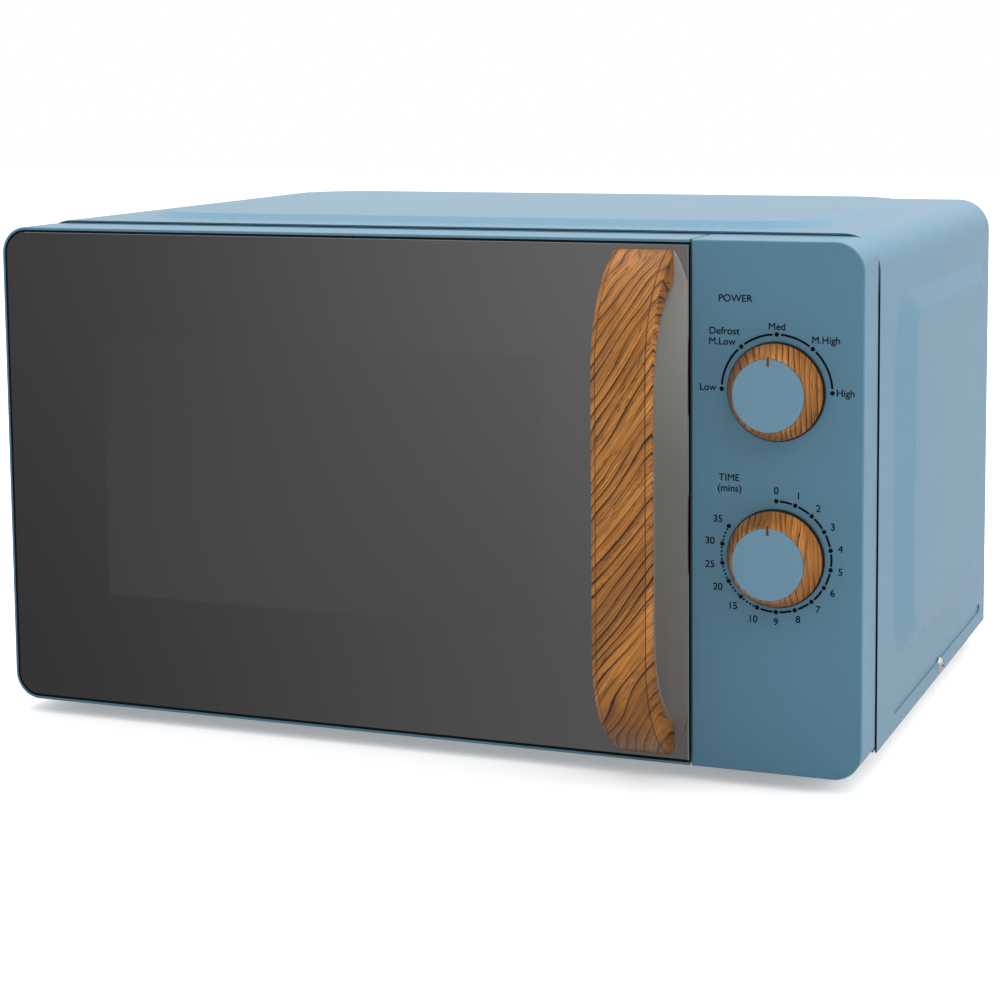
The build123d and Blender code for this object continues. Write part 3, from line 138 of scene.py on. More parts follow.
class Finish(Nodes):
    """One material of the oven."""

    def __init__(self, name, colour=(128, 128, 128), rough=0.5, **sockets):
        self.made = bpy.data.materials.new(name)
        self.made.use_nodes = True
        super().__init__(self.made.node_tree)
        self.shader = self.tree.nodes["Principled BSDF"]
        self.colour = rgb(*colour)
        self.set("Base Color", self.colour)
        self.set("Roughness", rough)
        for key, value in sockets.items():
            self.set(key.replace("_", " "), value)

    def set(self, socket, value):
        target = self.shader.inputs[socket]
        if isinstance(value, bpy.types.NodeSocket):
            self.tree.links.new(value, target)
        else:
            target.default_value = value

    def place(self):
        """Position on the piece at rest, in metres."""
        return self.add("ShaderNodeTexCoord", out="Object")

    def millimetres(self):
        return [self.math("MULTIPLY", part, 1 / MM) for part in self.parts(self.place())]

    def vector(self, x, y, z):
        return self.add("ShaderNodeCombineXYZ", {0: x, 1: y, 2: z})

    def noise(self, vector, scale, detail=2.0, rough=0.5):
        return self.add("ShaderNodeTexNoise", {"Vector": vector, "Scale": scale, "Detail": detail,
                                               "Roughness": rough})

    def mix(self, share, a, b):
        return self.add("ShaderNodeMix", {0: share, 6: a, 7: b}, out=2, data_type="RGBA")

    def gloss(self, share, low, high, ends=NOISE_ENDS):
        """Roughness between two levels, set by a 0 to 1 value."""
        self.set("Roughness", self.span(share, *ends, low, high))

    def bump(self, height, depth):
        """Surface relief of a given depth in metres."""
        self.set("Normal", self.add("ShaderNodeBump", {"Height": height, "Distance": depth, "Strength": 1.0}))

    def colour_so_far(self):
        return self.shader.inputs["Base Color"].links[0].from_socket

    def tint(self, share, amount):
        """The colour made a little lighter and darker by a 0 to 1 value."""
        low = tuple(c * (1 - amount) for c in self.colour[:3]) + (1.0,)
        high = tuple(min(1.0, c * (1 + amount)) for c in self.colour[:3]) + (1.0,)
        self.set("Base Color", self.mix(share, low, high))


# The cover's cut edge: bare steel darkened with painted shade of the gap beside the panel.
EDGE_BAND = (0.06, 0.16)
EDGE_HEIGHT = (222.0, 244.0)
EDGE_TOP = 0.22
EDGE_BARE_AND_SHADE_COLOUR = (10, 17, 24)


def painted(name, colour, rough, peel=0.000003, amount=0.02, edge=None, **sockets):
    """Sprayed or moulded colour: faint orange peel, fine dust in the gloss, slow change of tone.

    The cut edge of a sheet, at y = edge, is painted near-black: bare steel with painted shade of the gap
    beside the panel, and this painted shade fades towards the top."""
    f = Finish(name, colour, rough, **sockets)
    at = f.place()
    f.tint(f.noise(at, 7.0, 3.0), amount)
    if edge is not None:
        tone = f.colour_so_far()
        _, y, z = f.millimetres()
        # Painted shade: the cut edge is coloured near-black for the shade of the gap, weaker towards the top.
        near = f.span(y, edge + EDGE_BAND[0], edge + EDGE_BAND[1], 1.0, 0.0)
        bare = f.math("MULTIPLY", near, f.span(z, *EDGE_HEIGHT, 1.0, EDGE_TOP))
        f.set("Base Color", f.mix(bare, tone, rgb(*EDGE_BARE_AND_SHADE_COLOUR)))
    f.gloss(f.noise(at, 60.0, 4.0, 0.6), rough - 0.015, rough + 0.015)
    f.bump(f.noise(at, 300.0, 2.0), peel)
    return f.made


def sheet_metal(name, colour, rough, spangle=True):
    """Zinc-coated sheet with its crystal flakes and faint rolling lines."""
    f = Finish(name, colour, rough, Metallic=0.85)
    at = f.place()
    flake = f.add("ShaderNodeTexVoronoi", {"Vector": at, "Scale": 110.0}, out="Color")
    grey = f.add("ShaderNodeSeparateColor", {0: flake})
    lines = f.noise(f.add("ShaderNodeMapping", {0: at, 3: (30.0, 900.0, 30.0)}), 1.0, 2.0)
    share = f.math("MULTIPLY_ADD", grey, 0.6, f.math("MULTIPLY", lines, 0.4))
    f.tint(share if spangle else lines, 0.14)
    f.gloss(share, rough - 0.08, rough + 0.1, (0.2, 0.9))
    f.bump(lines, 0.000012)
    return f.made


def grained(f, low, high, depth):
    """The fine spark-eroded skin of a moulding."""
    skin = f.noise(f.place(), 900.0, 2.0, 0.6)
    f.gloss(skin, low, high)
    f.bump(skin, depth)
    return f.made


def moulded(name, colour, rough):
    f = Finish(name, colour, rough)
    f.tint(f.noise(f.place(), 14.0, 3.0), 0.05)
    return grained(f, rough - 0.06, rough + 0.06, 0.00003)


LINER_COLOUR = (240, 238, 234)
LINER_CUT = (112, 109, 105)


def handle_liner():
    """Pale moulding whose cut sides are a darker grey."""
    f = Finish("grey_moulding", LINER_COLOUR, 0.4)
    f.tint(f.noise(f.place(), 14.0, 3.0), 0.04)
    tone = f.colour_so_far()
    side = f.math("ABSOLUTE", f.math("SUBTRACT", f.millimetres()[0], HANDLE_X))
    cut = f.span(side, HANDLE_HALF - 0.3, HANDLE_HALF - 0.1)
    f.set("Base Color", f.mix(cut, tone, rgb(*LINER_CUT)))
    return grained(f, 0.34, 0.46, 0.00003)


def plated(name, colour, rough):
    f = Finish(name, colour, rough, Metallic=1.0)
    marks = f.noise(f.place(), 500.0, 3.0, 0.7)
    f.tint(marks, 0.06)
    f.gloss(marks, rough - 0.05, rough + 0.12, (0.3, 0.75))
    return f.made


WOOD_LIGHT = rgb(196, 130, 58)
WOOD_MID = rgb(150, 94, 38)
# Dark late wood; also the colour of the painted shade on the handle ends and the knob rings.
WOOD_LATE_AND_SHADE = rgb(100, 60, 24)
WOOD_LINE = rgb(34, 19, 8)
WOOD_DASH = rgb(80, 48, 24)
WOOD_HAIR = rgb(74, 44, 19)
WOOD_SEAM = rgb(52, 30, 16)
WOOD_ROUGH = (0.40, 0.55)


def wood(f, across, along, depth, ring, start):
    """Printed wood film: growth rings with a dark late edge, fine fibres and short pores along the grain.

    Gives the colour and the marks that are pressed in. Lengths are in millimetres."""
    deep = f.math("MULTIPLY", depth, 0.04)

    def field(per_across, per_along, detail, rough=0.5, offset=0.0):
        a = f.math("MULTIPLY_ADD", across, per_across, offset + start)
        b = f.math("MULTIPLY_ADD", along, per_along, offset)
        return f.noise(f.vector(a, b, deep), 1.0, detail, rough)

    fibre = field(1.5, 0.035, 4.0, 0.65)
    drift = field(0.055, 0.011, 1.0, offset=7.3)
    ragged = f.math("MULTIPLY_ADD", fibre, 0.12, f.math("MULTIPLY", drift, 3.2))
    phase = f.math("MULTIPLY_ADD", across, 1.0 / ring, ragged)
    gone = f.math("FRACT", phase)
    nearest = f.math("PINGPONG", phase, 0.5)
    strength = f.span(field(0.11, 0.020, 1.0, offset=31.0), 0.34, 0.58, 0.35, 1.0)
    width = f.span(field(0.21, 0.03, 1.0, offset=53.0), 0.3, 0.7, 0.06, 0.15)
    line = f.math("MULTIPLY", f.span(nearest, f.math("MULTIPLY", width, 0.35), width, 1.0, 0.0), strength)
    between = f.math("MULTIPLY_ADD", across, 2.6 / ring, f.math("MULTIPLY", ragged, 2.2))
    finer = f.math("PINGPONG", between, 0.5)
    hair = f.math("MULTIPLY", f.span(finer, 0.03, 0.13, 0.8, 0.0),
                  f.span(field(0.17, 0.017, 2.0, offset=43.0), 0.40, 0.58))
    late = f.math("MULTIPLY", f.span(gone, 0.45, 1.0, 0.0, 0.6), strength)
    band = f.span(field(0.10, 0.006, 2.0, offset=90.0), 0.42, 0.66, 0.0, 0.45)
    pore = field(2.6, 0.16, 1.0, offset=11.0)
    dash = f.math("MULTIPLY", f.span(pore, 0.60, 0.68, 0.0, 0.8),
                  f.span(field(0.3, 0.02, 1.0, offset=71.0), 0.42, 0.56))
    tone = f.mix(f.span(fibre, 0.30, 0.66), WOOD_MID, WOOD_LIGHT)
    tone = f.mix(band, tone, WOOD_LATE_AND_SHADE)
    tone = f.mix(late, tone, WOOD_LATE_AND_SHADE)
    tone = f.mix(dash, tone, WOOD_DASH)
    tone = f.mix(hair, tone, WOOD_HAIR)
    tone = f.mix(f.math("MULTIPLY", line, 0.95), tone, WOOD_LINE)
    return tone, f.math("MAXIMUM", line, dash)


HANDLE_RING = 3.7
HANDLE_RISE = 0.82
HANDLE_SEAM = 2.6


def handle_wood():
    """The grain runs up to the right, steeper towards both ends, and a thin seam follows each bevel.

    Both ends are darkened with painted shade."""
    f = Finish("handle_wood", rough=0.42, Specular_IOR_Level=0.3)
    x, y, z = f.millimetres()
    u = f.math("SUBTRACT", x, HANDLE_X)
    v = f.math("SUBTRACT", z, FRONT_MID_Z)
    w = f.math("SUBTRACT", y, FACE_Y)
    cube = f.math("MULTIPLY", f.math("MULTIPLY", v, v), v)
    bend = f.span(v, -20.0, 20.0, -4.5e-6, -1.2e-5)
    rise = f.math("MULTIPLY_ADD", cube, bend, f.math("MULTIPLY", v, HANDLE_RISE))
    across = f.math("MULTIPLY", f.math("SUBTRACT", f.math("MULTIPLY_ADD", w, 0.05, rise), u), 0.72)
    along = f.math("MULTIPLY_ADD", u, 0.6, v)
    tone, marks = wood(f, across, along, w, HANDLE_RING, 0.0)
    # Painted shade: the wood darkens towards both ends of the handle, most at the lower end.
    lower = f.span(v, -118.0, -74.0, 0.62, 0.0)
    upper = f.span(v, 68.0, 110.0, 0.0, 0.32)
    tone = f.mix(f.math("ADD", lower, upper), tone, WOOD_LATE_AND_SHADE)
    edge = f.math("ABSOLUTE", f.math("SUBTRACT", f.math("ABSOLUTE", u), HANDLE_HALF - HANDLE_SEAM))
    seam = f.span(edge, 0.10, 0.36, 0.85, 0.0)
    f.set("Base Color", f.mix(seam, tone, WOOD_SEAM))
    f.gloss(marks, *WOOD_ROUGH, (0.0, 1.0))
    f.bump(f.math("SUBTRACT", 1.0, f.math("MAXIMUM", marks, seam)), 0.00005)
    return f.made


CAP_COLOUR = (97, 136, 159)
CAP_RADIUS = 16.6
POINTER_HALF = 0.62
POINTER_END = 13.3
KNOB_RING = 2.6
KNOB_FRONT = (-14.9, -14.4)
KNOB_FOOT = -2.9
# Black of the painted shade at the foot of the knob ring.
FOOT_SHADE_BLACK = (10, 10, 11)
PAINT_EDGE = 0.06


def knob_wood(name, centre_z, start):
    """The grain stands upright across the whole ring, and painted shade darkens its left, right and lower
    edges.

    The foot of the ring is painted black like the collar, as painted shade of the gap at the collar. The
    tongue in the cap is left bare as a thin pointer, and its edges are painted over with the cap."""
    f = Finish(name, rough=0.42, Specular_IOR_Level=0.3)
    x, y, z = f.millimetres()
    u = f.math("SUBTRACT", x, PANEL_X)
    v = f.math("SUBTRACT", z, centre_z)
    w = f.math("SUBTRACT", y, FACE_Y)
    across = f.math("MULTIPLY_ADD", v, 0.06, f.math("MULTIPLY_ADD", w, 0.25, u))
    tone, marks = wood(f, across, v, w, KNOB_RING, start)
    # Painted shade: the ring's left, right and lower edges are darkened.
    dark = f.math("MAXIMUM", f.span(u, -21.0, -14.0, 0.55, 0.0), f.span(v, -21.0, -14.0, 0.45, 0.0))
    dark = f.math("MAXIMUM", dark, f.span(u, 11.0, 19.0, 0.0, 0.40))
    tone = f.mix(dark, tone, WOOD_LATE_AND_SHADE)
    off = f.math("ABSOLUTE", u)
    lip = f.math("MULTIPLY", f.span(v, 0.0, 2.0), f.span(w, *KNOB_FRONT, 1.0, 0.0))
    inset = f.math("MULTIPLY", f.span(off, 0.35, 0.7, 0.75, 0.0), lip)
    tone = f.mix(inset, tone, WOOD_LINE)
    reach = f.math("SQRT", f.math("MULTIPLY_ADD", u, u, f.math("MULTIPLY", v, v)))
    tongue = f.math("MULTIPLY", f.span(reach, CAP_RADIUS - 0.1, CAP_RADIUS + 0.1, 1.0, 0.0), lip)
    bare = f.math("MULTIPLY", f.span(off, POINTER_HALF - PAINT_EDGE, POINTER_HALF + PAINT_EDGE, 1.0, 0.0),
                  f.span(v, POINTER_END - PAINT_EDGE, POINTER_END + PAINT_EDGE))
    covered = f.math("MULTIPLY", tongue, f.math("SUBTRACT", 1.0, bare))
    tone = f.mix(covered, tone, rgb(*CAP_COLOUR))
    # Painted shade: the ring's foot is painted black for the shade of the gap at the collar.
    foot = f.span(w, KNOB_FOOT - 0.08, KNOB_FOOT + 0.08)
    f.set("Base Color", f.mix(foot, tone, rgb(*FOOT_SHADE_BLACK)))
    f.gloss(marks, *WOOD_ROUGH, (0.0, 1.0))
    f.bump(f.math("SUBTRACT", 1.0, marks), 0.00004)
    return f.made


GLASS_COAT = (150, 150, 150)
WINDOW_EDGE = 1.0
WINDOW_DIM = rgb(151, 151, 152)
WINDOW_PAINTED_LIGHT = rgb(171, 171, 172)
WINDOW_ALPHA = 0.92


def door_glass():
    """Dark half-mirror glass with a window that lets a little light through; the window's lighter grey,
    brightest towards its lower left, is painted light.
    """
    f = Finish("dark_glass", GLASS_COAT, 0.03, Metallic=1.0)
    x, _, z = f.millimetres()

    def within(value, ends):
        rising = f.span(value, ends[0] - WINDOW_EDGE, ends[0] + WINDOW_EDGE)
        falling = f.span(value, ends[1] - WINDOW_EDGE, ends[1] + WINDOW_EDGE, 1.0, 0.0)
        return f.math("MULTIPLY", rising, falling)

    window = f.math("MULTIPLY", within(x, WINDOW_X), within(z, WINDOW_Z))
    haze = f.noise(f.place(), 24.0, 3.0)
    f.tint(haze, 0.015)
    coat = f.colour_so_far()
    # Painted light: the window is coloured lighter, brightest towards its lower left.
    painted_window_light = f.math("MULTIPLY", f.span(x, *WINDOW_X, 1.0, 0.12), f.span(z, *WINDOW_Z, 1.0, 0.35))
    f.set("Base Color", f.mix(window, coat, f.mix(painted_window_light, WINDOW_DIM, WINDOW_PAINTED_LIGHT)))
    f.gloss(haze, 0.015, 0.03)
    f.set("Alpha", f.span(window, 0.0, 1.0, 1.0, WINDOW_ALPHA))
    return f.made


def clear_glass(name, colour, rough):
    f = Finish(name, colour, rough, IOR=1.5, Transmission_Weight=1.0)
    at = f.place()
    f.bump(f.noise(at, 35.0, 2.0), 0.00006)
    f.gloss(f.noise(at, 70.0, 3.0), rough, rough + 0.04)
    return f.made


def rubber(name, colour):
    f = Finish(name, colour, 0.75, Specular_IOR_Level=0.25)
    skin = f.noise(f.place(), 700.0, 3.0, 0.7)
    f.tint(skin, 0.2)
    f.gloss(skin, 0.65, 0.85)
    f.bump(skin, 0.00005)
    return f.made


def laminated(name, colour, axis):
    """Stacked sheets: fine dark lines across the stack."""
    f = Finish(name, colour, 0.55, Metallic=0.4)
    place = f.millimetres()[axis]
    sheets = f.math("PINGPONG", place, 0.5)
    grime = f.noise(f.place(), 120.0, 4.0, 0.6)
    f.tint(f.math("MULTIPLY_ADD", sheets, 1.0, f.math("MULTIPLY", grime, 0.5)), 0.3)
    f.gloss(grime, 0.45, 0.65)
    f.bump(sheets, 0.0001)
    return f.made


def wound(name, colour):
    """Varnished wire laid turn on turn."""
    f = Finish(name, colour, 0.3, Metallic=0.9)
    turns = f.math("PINGPONG", f.millimetres()[2], 0.45)
    tone = f.noise(f.place(), 200.0, 3.0)
    f.tint(f.math("MULTIPLY_ADD", turns, 1.4, f.math("MULTIPLY", tone, 0.4)), 0.3)
    f.gloss(tone, 0.24, 0.4)
    f.bump(turns, 0.0004)
    return f.made


def mica():
    f = Finish("mica_sheet", (196, 184, 152), 0.4)
    at = f.place()
    flake = f.add("ShaderNodeTexVoronoi", {"Vector": at, "Scale": 260.0}, out="Distance")
    f.tint(f.math("MULTIPLY_ADD", flake, 0.6, f.math("MULTIPLY", f.noise(at, 40.0, 4.0), 0.5)), 0.2)
    f.gloss(flake, 0.3, 0.55, (0.0, 0.8))
    f.bump(flake, 0.00004)
    return f.made


def circuit_board():
    f = Finish("board_green", (44, 92, 58), 0.4)
    at = f.place()
    weave = f.noise(at, 1200.0, 2.0)
    f.tint(f.math("MULTIPLY_ADD", weave, 0.5, f.math("MULTIPLY", f.noise(at, 90.0, 2.0), 0.5)), 0.2)
    f.gloss(weave, 0.32, 0.48)
    f.bump(weave, 0.00002)
    return f.made


# Finishes of every piece

BLUE = (78, 122, 145)
paint = painted("cabinet_paint", BLUE, 0.25, edge=COVER_EDGE)
plate_paint = painted("plate_paint", BLUE, 0.30)
front = painted("front_moulding", BLUE, 0.30)
cap = painted("cap_moulding", CAP_COLOUR, 0.40)
enamel = painted("cavity_enamel", (196, 199, 200), 0.34, 0.00001, 0.05)
zinc = sheet_metal("zinc_sheet", (176, 179, 182), 0.40)
bracket = sheet_metal("bracket_steel", (168, 170, 172), 0.36, False)
white = moulded("natural_moulding", (226, 225, 218), 0.45)
black = moulded("black_moulding", (26, 26, 27), 0.5)
grey = handle_liner()
screw = plated("plated_screw", (214, 214, 216), 0.16)
spring = plated("spring_wire", (196, 196, 198), 0.25)
alloy = plated("bare_alloy", (205, 207, 210), 0.34)
screen_black = painted("screen_enamel", (24, 24, 25), 0.45, 0.00001, 0.05)
glass = door_glass()
tray_glass = clear_glass("tray_glass", (226, 240, 236), 0.02)
pane = clear_glass("inner_pane", (220, 224, 224), 0.05)
foot_rubber = rubber("soft_black", (30, 30, 31))
# Near-black seal round the door glass; its black is also painted shade of the gap between rim and glass.
gasket_and_gap_shade = rubber("seal_and_gap_shade_black", (7, 7, 8))

FINISHES = {
    paint: ["outer_cover"],
    plate_paint: ["front_plate"],
    front: ["control_panel", "door_bezel"],
    cap: ["power_knob_cap", "timer_knob_cap"],
    enamel: ["cavity_shell", "cavity_top", "cavity_back"],
    zinc: ["base_plate", "back_plate", "door_inner_frame", "waveguide", "magnetron_filter_box",
           "turntable_motor"],
    bracket: ["hinge_brackets", "capacitor_strap", "magnetron_yoke"],
    white: ["fan_duct", "fan_blade", "cavity_lamp", "turntable_coupler", "roller_ring", "roller_1",
            "roller_2", "roller_3", "timer_unit", "door_bushes", "latch_lever", "latch_board",
            "switch_buttons"],
    black: ["mains_gland", "power_spindle", "timer_spindle", "choke_cover", "microswitches", "hv_diode",
            "thermal_cutouts"],
    grey: ["handle_back"],
    screw: ["cover_screws", "handle_screws"],
    spring: ["latch_spring"],
    alloy: ["magnetron_tube", "capacitor"],
    screen_black: ["door_screen"],
    glass: ["door_glass"],
    tray_glass: ["glass_tray"],
    pane: ["inner_window"],
    foot_rubber: ["feet"],
    gasket_and_gap_shade: ["glass_gasket"],
    handle_wood(): ["handle_shell"],
    knob_wood("power_wood", POWER_Z, 3.0): ["power_knob_ring"],
    knob_wood("time_wood", TIME_Z, 57.0): ["timer_knob_ring"],
    laminated("core_sheets", (92, 88, 84), 0): ["transformer_core"],
    laminated("motor_sheets", (98, 94, 90), 1): ["fan_motor"],
    wound("copper_wire", (168, 96, 52)): ["transformer_coils"],
    mica(): ["waveguide_cover"],
    circuit_board(): ["filter_board"],
}
for finish, names in FINISHES.items():
    for name in names:
        nodes[name].data.materials.clear()
        nodes[name].data.materials.append(finish)


def new_piece(name, form, material):
    """A piece in the scene from a finished form."""
    bmesh.ops.recalc_face_normals(form, faces=form.faces)
    shape = bpy.data.meshes.new(name)
    form.to_mesh(shape)
    form.free()
    shape.materials.append(material)
    piece = bpy.data.objects.new(name, shape)
    scene.collection.objects.link(piece)
    return piece


def thicken(piece, name, thickness):
    """Gives a flat piece its thickness, half to each side."""
    depth = piece.modifiers.new(name, "SOLIDIFY")
    depth.thickness = thickness
    depth.offset = 0.0


# Printed scales on the panel, in millimetres and degrees

PRINT_LIFT = 0.03
PRINT_THICK = 0.05
LETTER = 4.6
WEIGHT = 0.07
LETTER_WELD = 0.004
DOT = 1.05
DOT_SIDES = 20
SMALL_DOT = 0.5
STROKE = 0.5
SCALE_RADIUS = 25.6
POWER_MIDDLE = POWER_Z + 0.3
POWER_STOPS = (-90, -40.2, 0, 40.2, 90)
POWER_GAP = 4.2
POWER_WORDS = (
    ("POWER", 163.7, 226.1),
    ("Low", 150.9, 185.3),
    ("Defrost", 158.6, 211.2),
    ("M.Low", 157.6, 206.4),
    ("Med", 183.1, 213.8),
    ("M.High", 205.6, 208.3),
    ("High", 214.6, 184.8),
)
TIME_MIDDLE = TIME_Z + 0.7
MINUTES = (*range(11), 15, 20, 25, 30, 35)
MINUTE_TURN = 20
MINUTE_GAP = 3.6
NUMBER_RADIUS = 30.2
TWO_DIGITS = 1.4
TIME_WORDS = (("TIME", 161.0, 144.1), ("(mins)", 161.2, 139.2))


def ring_point(centre_z, radius, turn):
    """Point (x, z) at an angle clockwise from the top of a dial."""
    a = math.radians(turn)
    return PANEL_X + radius * math.sin(a), centre_z + radius * math.cos(a)


def embolden(shape, by):
    """Flat letters made heavier: every outline point moves outwards by the same length."""
    form = bmesh.new()
    form.from_mesh(shape)
    bmesh.ops.remove_doubles(form, verts=form.verts, dist=LETTER_WELD * MM)
    outwards = {}
    for edge in form.edges:
        if len(edge.link_loops) != 1:
            continue
        loop = edge.link_loops[0]
        ends = (loop.vert, loop.link_loop_next.vert)
        side = (ends[1].co - ends[0].co).normalized().cross(loop.face.normal)
        for vert in ends:
            outwards[vert] = outwards.get(vert, Vector()) + side
    for vert, way in outwards.items():
        vert.co += way.normalized() * by
    form.to_mesh(shape)
    form.free()


class Print:
    """Flat marks collected in one piece."""

    def __init__(self):
        self.form = bmesh.new()

    def face(self, points):
        y = FACE_Y - PRINT_LIFT
        corners = [self.form.verts.new((x * MM, y * MM, z * MM)) for x, z in points]
        self.form.faces.new(corners)

    def dot(self, x, z, radius):
        turns = [2 * math.pi * i / DOT_SIDES for i in range(DOT_SIDES)]
        self.face([(x + radius * math.cos(t), z + radius * math.sin(t)) for t in turns])

    def arc(self, centre_z, start, end, half):
        count = max(3, round((end - start) / 3))
        turns = [start + (end - start) * i / count for i in range(count + 1)]
        outer = [ring_point(centre_z, SCALE_RADIUS + half, t) for t in turns]
        inner = [ring_point(centre_z, SCALE_RADIUS - half, t) for t in turns]
        for i in range(count):
            self.face([inner[i], inner[i + 1], outer[i + 1], outer[i]])

    def words(self, text, x, z):
        curve = bpy.data.curves.new("words", "FONT")
        curve.body = text
        curve.size = LETTER * MM
        curve.align_x = "CENTER"
        curve.align_y = "CENTER"
        carrier = bpy.data.objects.new("words", curve)
        scene.collection.objects.link(carrier)
        bpy.context.view_layer.update()
        ready = carrier.evaluated_get(bpy.context.evaluated_depsgraph_get())
        shape = bpy.data.meshes.new_from_object(ready)
        stand = Matrix.Translation((x * MM, (FACE_Y - PRINT_LIFT) * MM, z * MM))
        embolden(shape, WEIGHT * MM)
        shape.transform(stand @ Matrix.Rotation(math.pi / 2, 4, "X"))
        self.form.from_mesh(shape)
        bpy.data.meshes.remove(shape)
        bpy.data.objects.remove(carrier)
        bpy.data.curves.remove(curve)

    def finish(self, name, material):
        piece = new_piece(name, self.form, material)
        thicken(piece, "ink", PRINT_THICK * MM)
        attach(piece, "cabinet")


ink = painted("printing_ink", (6, 8, 12), 0.7, 0.000002, 0.08, Specular_IOR_Level=0.1)


def power_scale():
    marks = Print()
    for turn in POWER_STOPS:
        marks.dot(*ring_point(POWER_MIDDLE, SCALE_RADIUS, turn), DOT)
    for start, end in zip(POWER_STOPS, POWER_STOPS[1:]):
        marks.arc(POWER_MIDDLE, start + POWER_GAP, end - POWER_GAP, STROKE)
    for text, x, z in POWER_WORDS:
        marks.words(text, x, z)
    marks.finish("power_scale", ink)


def time_scale():
    """Single minutes to 10 on a broken line, then fives with small dots between them."""
    marks = Print()
    for step, minute in enumerate(MINUTES):
        turn = step * MINUTE_TURN
        marks.dot(*ring_point(TIME_MIDDLE, SCALE_RADIUS, turn), DOT)
        radius = NUMBER_RADIUS + (TWO_DIGITS if minute > 9 else 0.0)
        marks.words(str(minute), *ring_point(TIME_MIDDLE, radius, turn))
        if minute < 10:
            marks.arc(TIME_MIDDLE, turn + MINUTE_GAP, turn + MINUTE_TURN - MINUTE_GAP, STROKE)
        elif minute < 35:
            for part in range(1, 5):
                marks.dot(*ring_point(TIME_MIDDLE, SCALE_RADIUS, turn + part * MINUTE_TURN / 5), SMALL_DOT)
    for text, x, z in TIME_WORDS:
        marks.words(text, x, z)
    marks.finish("time_scale", ink)


# Perforated screen of the door

HOLE_PITCH = 3.0
HOLE_RADIUS = 1.05
HOLE_SIDES = 6
SCREEN_WELD = 0.05
SCREEN_SLIVER = 0.01


def door_screen():
    """The sheet with its rows of holes, in the place of the plain one."""
    low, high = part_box("door_screen")
    left, right = low.x / MM, high.x / MM
    bottom, top = low.z / MM, high.z / MM
    rows = int((top - bottom) / (HOLE_PITCH * math.sqrt(3) / 2))
    columns = int((right - left) / HOLE_PITCH)
    row_step = (top - bottom) / rows
    column_step = (right - left) / (columns + 0.5)
    points, faces = [], []
    turns = [math.pi / 6 + math.pi / 3 * i for i in range(HOLE_SIDES)]
    reach_x = column_step / 2 / math.cos(math.pi / 6)
    reach_z = row_step * 2 / 3
    for row in range(rows):
        for column in range(columns):
            cx = left + (column + 0.5 + 0.5 * (row % 2)) * column_step
            cz = bottom + (row + 0.5) * row_step
            first = len(points)
            points += [(cx + reach_x * math.cos(t), cz + reach_z * math.sin(t)) for t in turns]
            points += [(cx + HOLE_RADIUS * math.cos(t), cz + HOLE_RADIUS * math.sin(t)) for t in turns]
            for i in range(HOLE_SIDES):
                j = (i + 1) % HOLE_SIDES
                faces.append((first + i, first + j, first + HOLE_SIDES + j, first + HOLE_SIDES + i))
    y = (low.y + high.y) / 2
    inside = [(min(max(x, left), right) * MM, y, min(max(z, bottom), top) * MM) for x, z in points]
    cells = bpy.data.meshes.new("cells")
    cells.from_pydata(inside, [], faces)
    form = bmesh.new()
    form.from_mesh(cells)
    bpy.data.meshes.remove(cells)
    bmesh.ops.remove_doubles(form, verts=form.verts, dist=SCREEN_WELD * MM)
    bmesh.ops.dissolve_degenerate(form, edges=form.edges, dist=SCREEN_SLIVER * MM)
    piece = new_piece("screen_sheet", form, screen_black)
    thicken(piece, "sheet", high.y - low.y)
    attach(piece, "door")
    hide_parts("door_screen")


# Grey plate on the glass beside the handle, a painted reflection of the handle in the glass

PLATE_THICK = 0.8
PLATE_CLEAR = 0.02
PLATE_GAP = 0.05
PLATE_BEVEL = 0.2
PLATE_MARGIN = 0.2
PLATE_FOOT = 14.0
PLATE_SLANT = ((0.0, 0.0), (0.26, 0.16), (0.61, 0.51), (0.90, 0.855), (1.0, 1.0))
PLATE_UPPER = 14.5
PLATE_LOWER = 20.0
PLATE_REFLECTION_GREY = (118, 116, 113)
PLATE_PAINTED_LIGHT = rgb(149, 148, 145)
PLATE_PAINTED_SHADE = rgb(112, 107, 103)


def plate_grey(bottom, top):
    """Satin grey moulding as a painted reflection of the handle, with painted light towards its upper end and
    painted shade towards its lower end.
    """
    f = Finish("plate_grey", PLATE_REFLECTION_GREY, 0.38)
    z = f.millimetres()[2]
    middle = (bottom + top) / 2
    # Painted light towards the upper end and painted shade towards the lower end.
    tone = f.mix(f.span(z, middle, top - 20.0), f.colour, PLATE_PAINTED_LIGHT)
    tone = f.mix(f.span(z, bottom + 10.0, middle, 1.0, 0.0), tone, PLATE_PAINTED_SHADE)
    f.set("Base Color", tone)
    return grained(f, 0.34, 0.44, 0.00002)


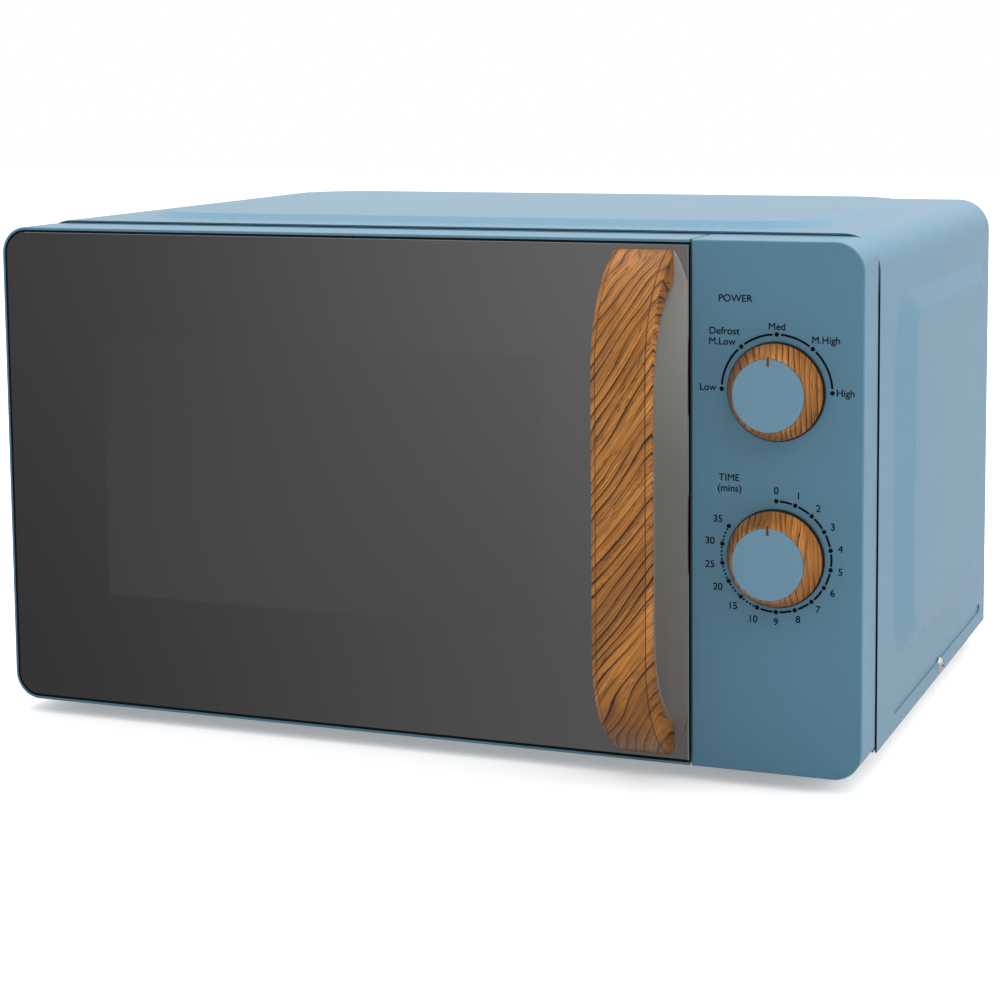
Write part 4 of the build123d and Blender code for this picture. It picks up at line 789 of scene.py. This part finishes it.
def handle_plate():
    """Thin plate beside and behind the handle, with slanted corners, cut out round both feet: a painted
    reflection of the handle in the glass.
    """
    low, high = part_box("handle_shell")
    glass_low, glass_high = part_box("door_glass")
    bottom, top = low.z / MM, high.z / MM
    right = glass_high.x / MM - PLATE_MARGIN
    side = HANDLE_X + HANDLE_HALF + PLATE_GAP
    half = [(side, top - PLATE_FOOT)]
    half += [(side + a * (right - side), top - b * PLATE_UPPER) for a, b in PLATE_SLANT]
    half += [(side + a * (right - side), bottom + b * PLATE_LOWER) for a, b in reversed(PLATE_SLANT)]
    half += [(side, bottom + PLATE_FOOT)]
    left = HANDLE_X - HANDLE_HALF
    outline = half + [(left, bottom + PLATE_FOOT), (left, top - PLATE_FOOT)]
    # The plate is a painted reflection of the handle in the glass.
    form = bmesh.new()
    y = glass_low.y - PLATE_CLEAR * MM
    face = form.faces.new([form.verts.new((x * MM, y, z * MM)) for x, z in outline])
    raised = bmesh.ops.extrude_face_region(form, geom=[face])["geom"]
    moved = [v for v in raised if isinstance(v, bmesh.types.BMVert)]
    bmesh.ops.translate(form, verts=moved, vec=(0.0, -PLATE_THICK * MM, 0.0))
    piece = new_piece("handle_plate", form, plate_grey(bottom, top))
    soft = piece.modifiers.new("edge", "BEVEL")
    soft.width = PLATE_BEVEL * MM
    soft.segments = 2
    soft.limit_method = "ANGLE"
    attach(piece, "door")


# Floor, light and background

WHITE = rgb(255, 255, 255)
FLOOR_HALF = 6.0
FLOOR_LIFT = 0.30
CARD_SIDEWAYS = (-0.60, -0.22)
CARD_LEVEL = (0.137, 0.450)
CARD_DOWN = (-0.28, -0.05)
CARD_LOW = 0.66
CARD_FACING = (-0.80, -0.35)
SKY_HEIGHT = (-0.05, 0.85)
SKY_LEVEL = (0.58, 1.30)
# name, place, target, size, power, whether it shows in gloss
LAMPS = (
    ("key", (1.3, -1.9, 1.9), (0.05, 0.0, 0.13), (1.2, 1.2), 10.8, True),
    ("fill", (-1.2, -2.2, 1.2), (0.0, 0.0, 0.13), (1.4, 1.4), 4.4, True),
    ("side", (2.4, 0.3, 0.9), (0.2, 0.0, 0.13), (1.4, 1.4), 25.0, False),
    ("top", (0.0, 0.9, 2.3), (0.0, 0.1, 0.25), (1.6, 1.6), 58.0, False),
)


def make_floor():
    shape = bpy.data.meshes.new("floor")
    corners = [(x * FLOOR_HALF, y * FLOOR_HALF, 0) for x, y in ((-1, -1), (1, -1), (1, 1), (-1, 1))]
    shape.from_pydata(corners, [], [(0, 1, 2, 3)])
    floor = bpy.data.objects.new("floor", shape)
    scene.collection.objects.link(floor)
    f = Finish("floor_white", (250, 250, 250), 0.9, Specular_IOR_Level=0.0)
    f.set("Emission Color", WHITE)
    seen = f.add("ShaderNodeLightPath", out="Is Camera Ray")
    f.set("Emission Strength", f.math("MULTIPLY", seen, FLOOR_LIFT))
    f.set("Base Color", f.mix(seen, rgb(220, 220, 220), f.colour))
    shape.materials.append(f.made)
    floor.visible_glossy = False


def make_world():
    """A white surround with a dark card in front of the door; white behind the object for the camera."""
    world = bpy.data.worlds.new("studio")
    world.use_nodes = True
    scene.world = world
    n = Nodes(world.node_tree)
    n.tree.nodes.clear()
    x, y, z = n.parts(n.add("ShaderNodeTexCoord", out="Generated"))
    card = n.math("MULTIPLY", n.span(x, *CARD_SIDEWAYS, *CARD_LEVEL), n.span(z, *CARD_DOWN, CARD_LOW, 1.0))
    sky = n.span(z, *SKY_HEIGHT, *SKY_LEVEL)
    level = n.span(n.span(y, *CARD_FACING), 0.0, 1.0, card, sky)
    around = n.add("ShaderNodeBackground", {0: WHITE, 1: level})
    behind = n.add("ShaderNodeBackground", {0: WHITE, 1: 1.0})
    seen = n.math("MAXIMUM", n.add("ShaderNodeLightPath", out="Is Camera Ray"),
                  n.add("ShaderNodeLightPath", out="Is Transmission Ray"))
    n.add("ShaderNodeOutputWorld", {0: n.add("ShaderNodeMixShader", {0: seen, 1: around, 2: behind})})


def lamp(name, place, target, size, power, mirrored):
    data = bpy.data.lights.new(name, "AREA")
    data.shape = "RECTANGLE"
    data.size, data.size_y = size
    data.energy = power
    piece = bpy.data.objects.new(name, data)
    piece.location = place
    piece.rotation_mode = "QUATERNION"
    piece.rotation_quaternion = (Vector(target) - Vector(place)).to_track_quat("-Z", "Y")
    piece.visible_glossy = mirrored
    scene.collection.objects.link(piece)


make_camera()
power_scale()
time_scale()
door_screen()
handle_plate()
make_floor()
make_world()
for row in LAMPS:
    lamp(*row)
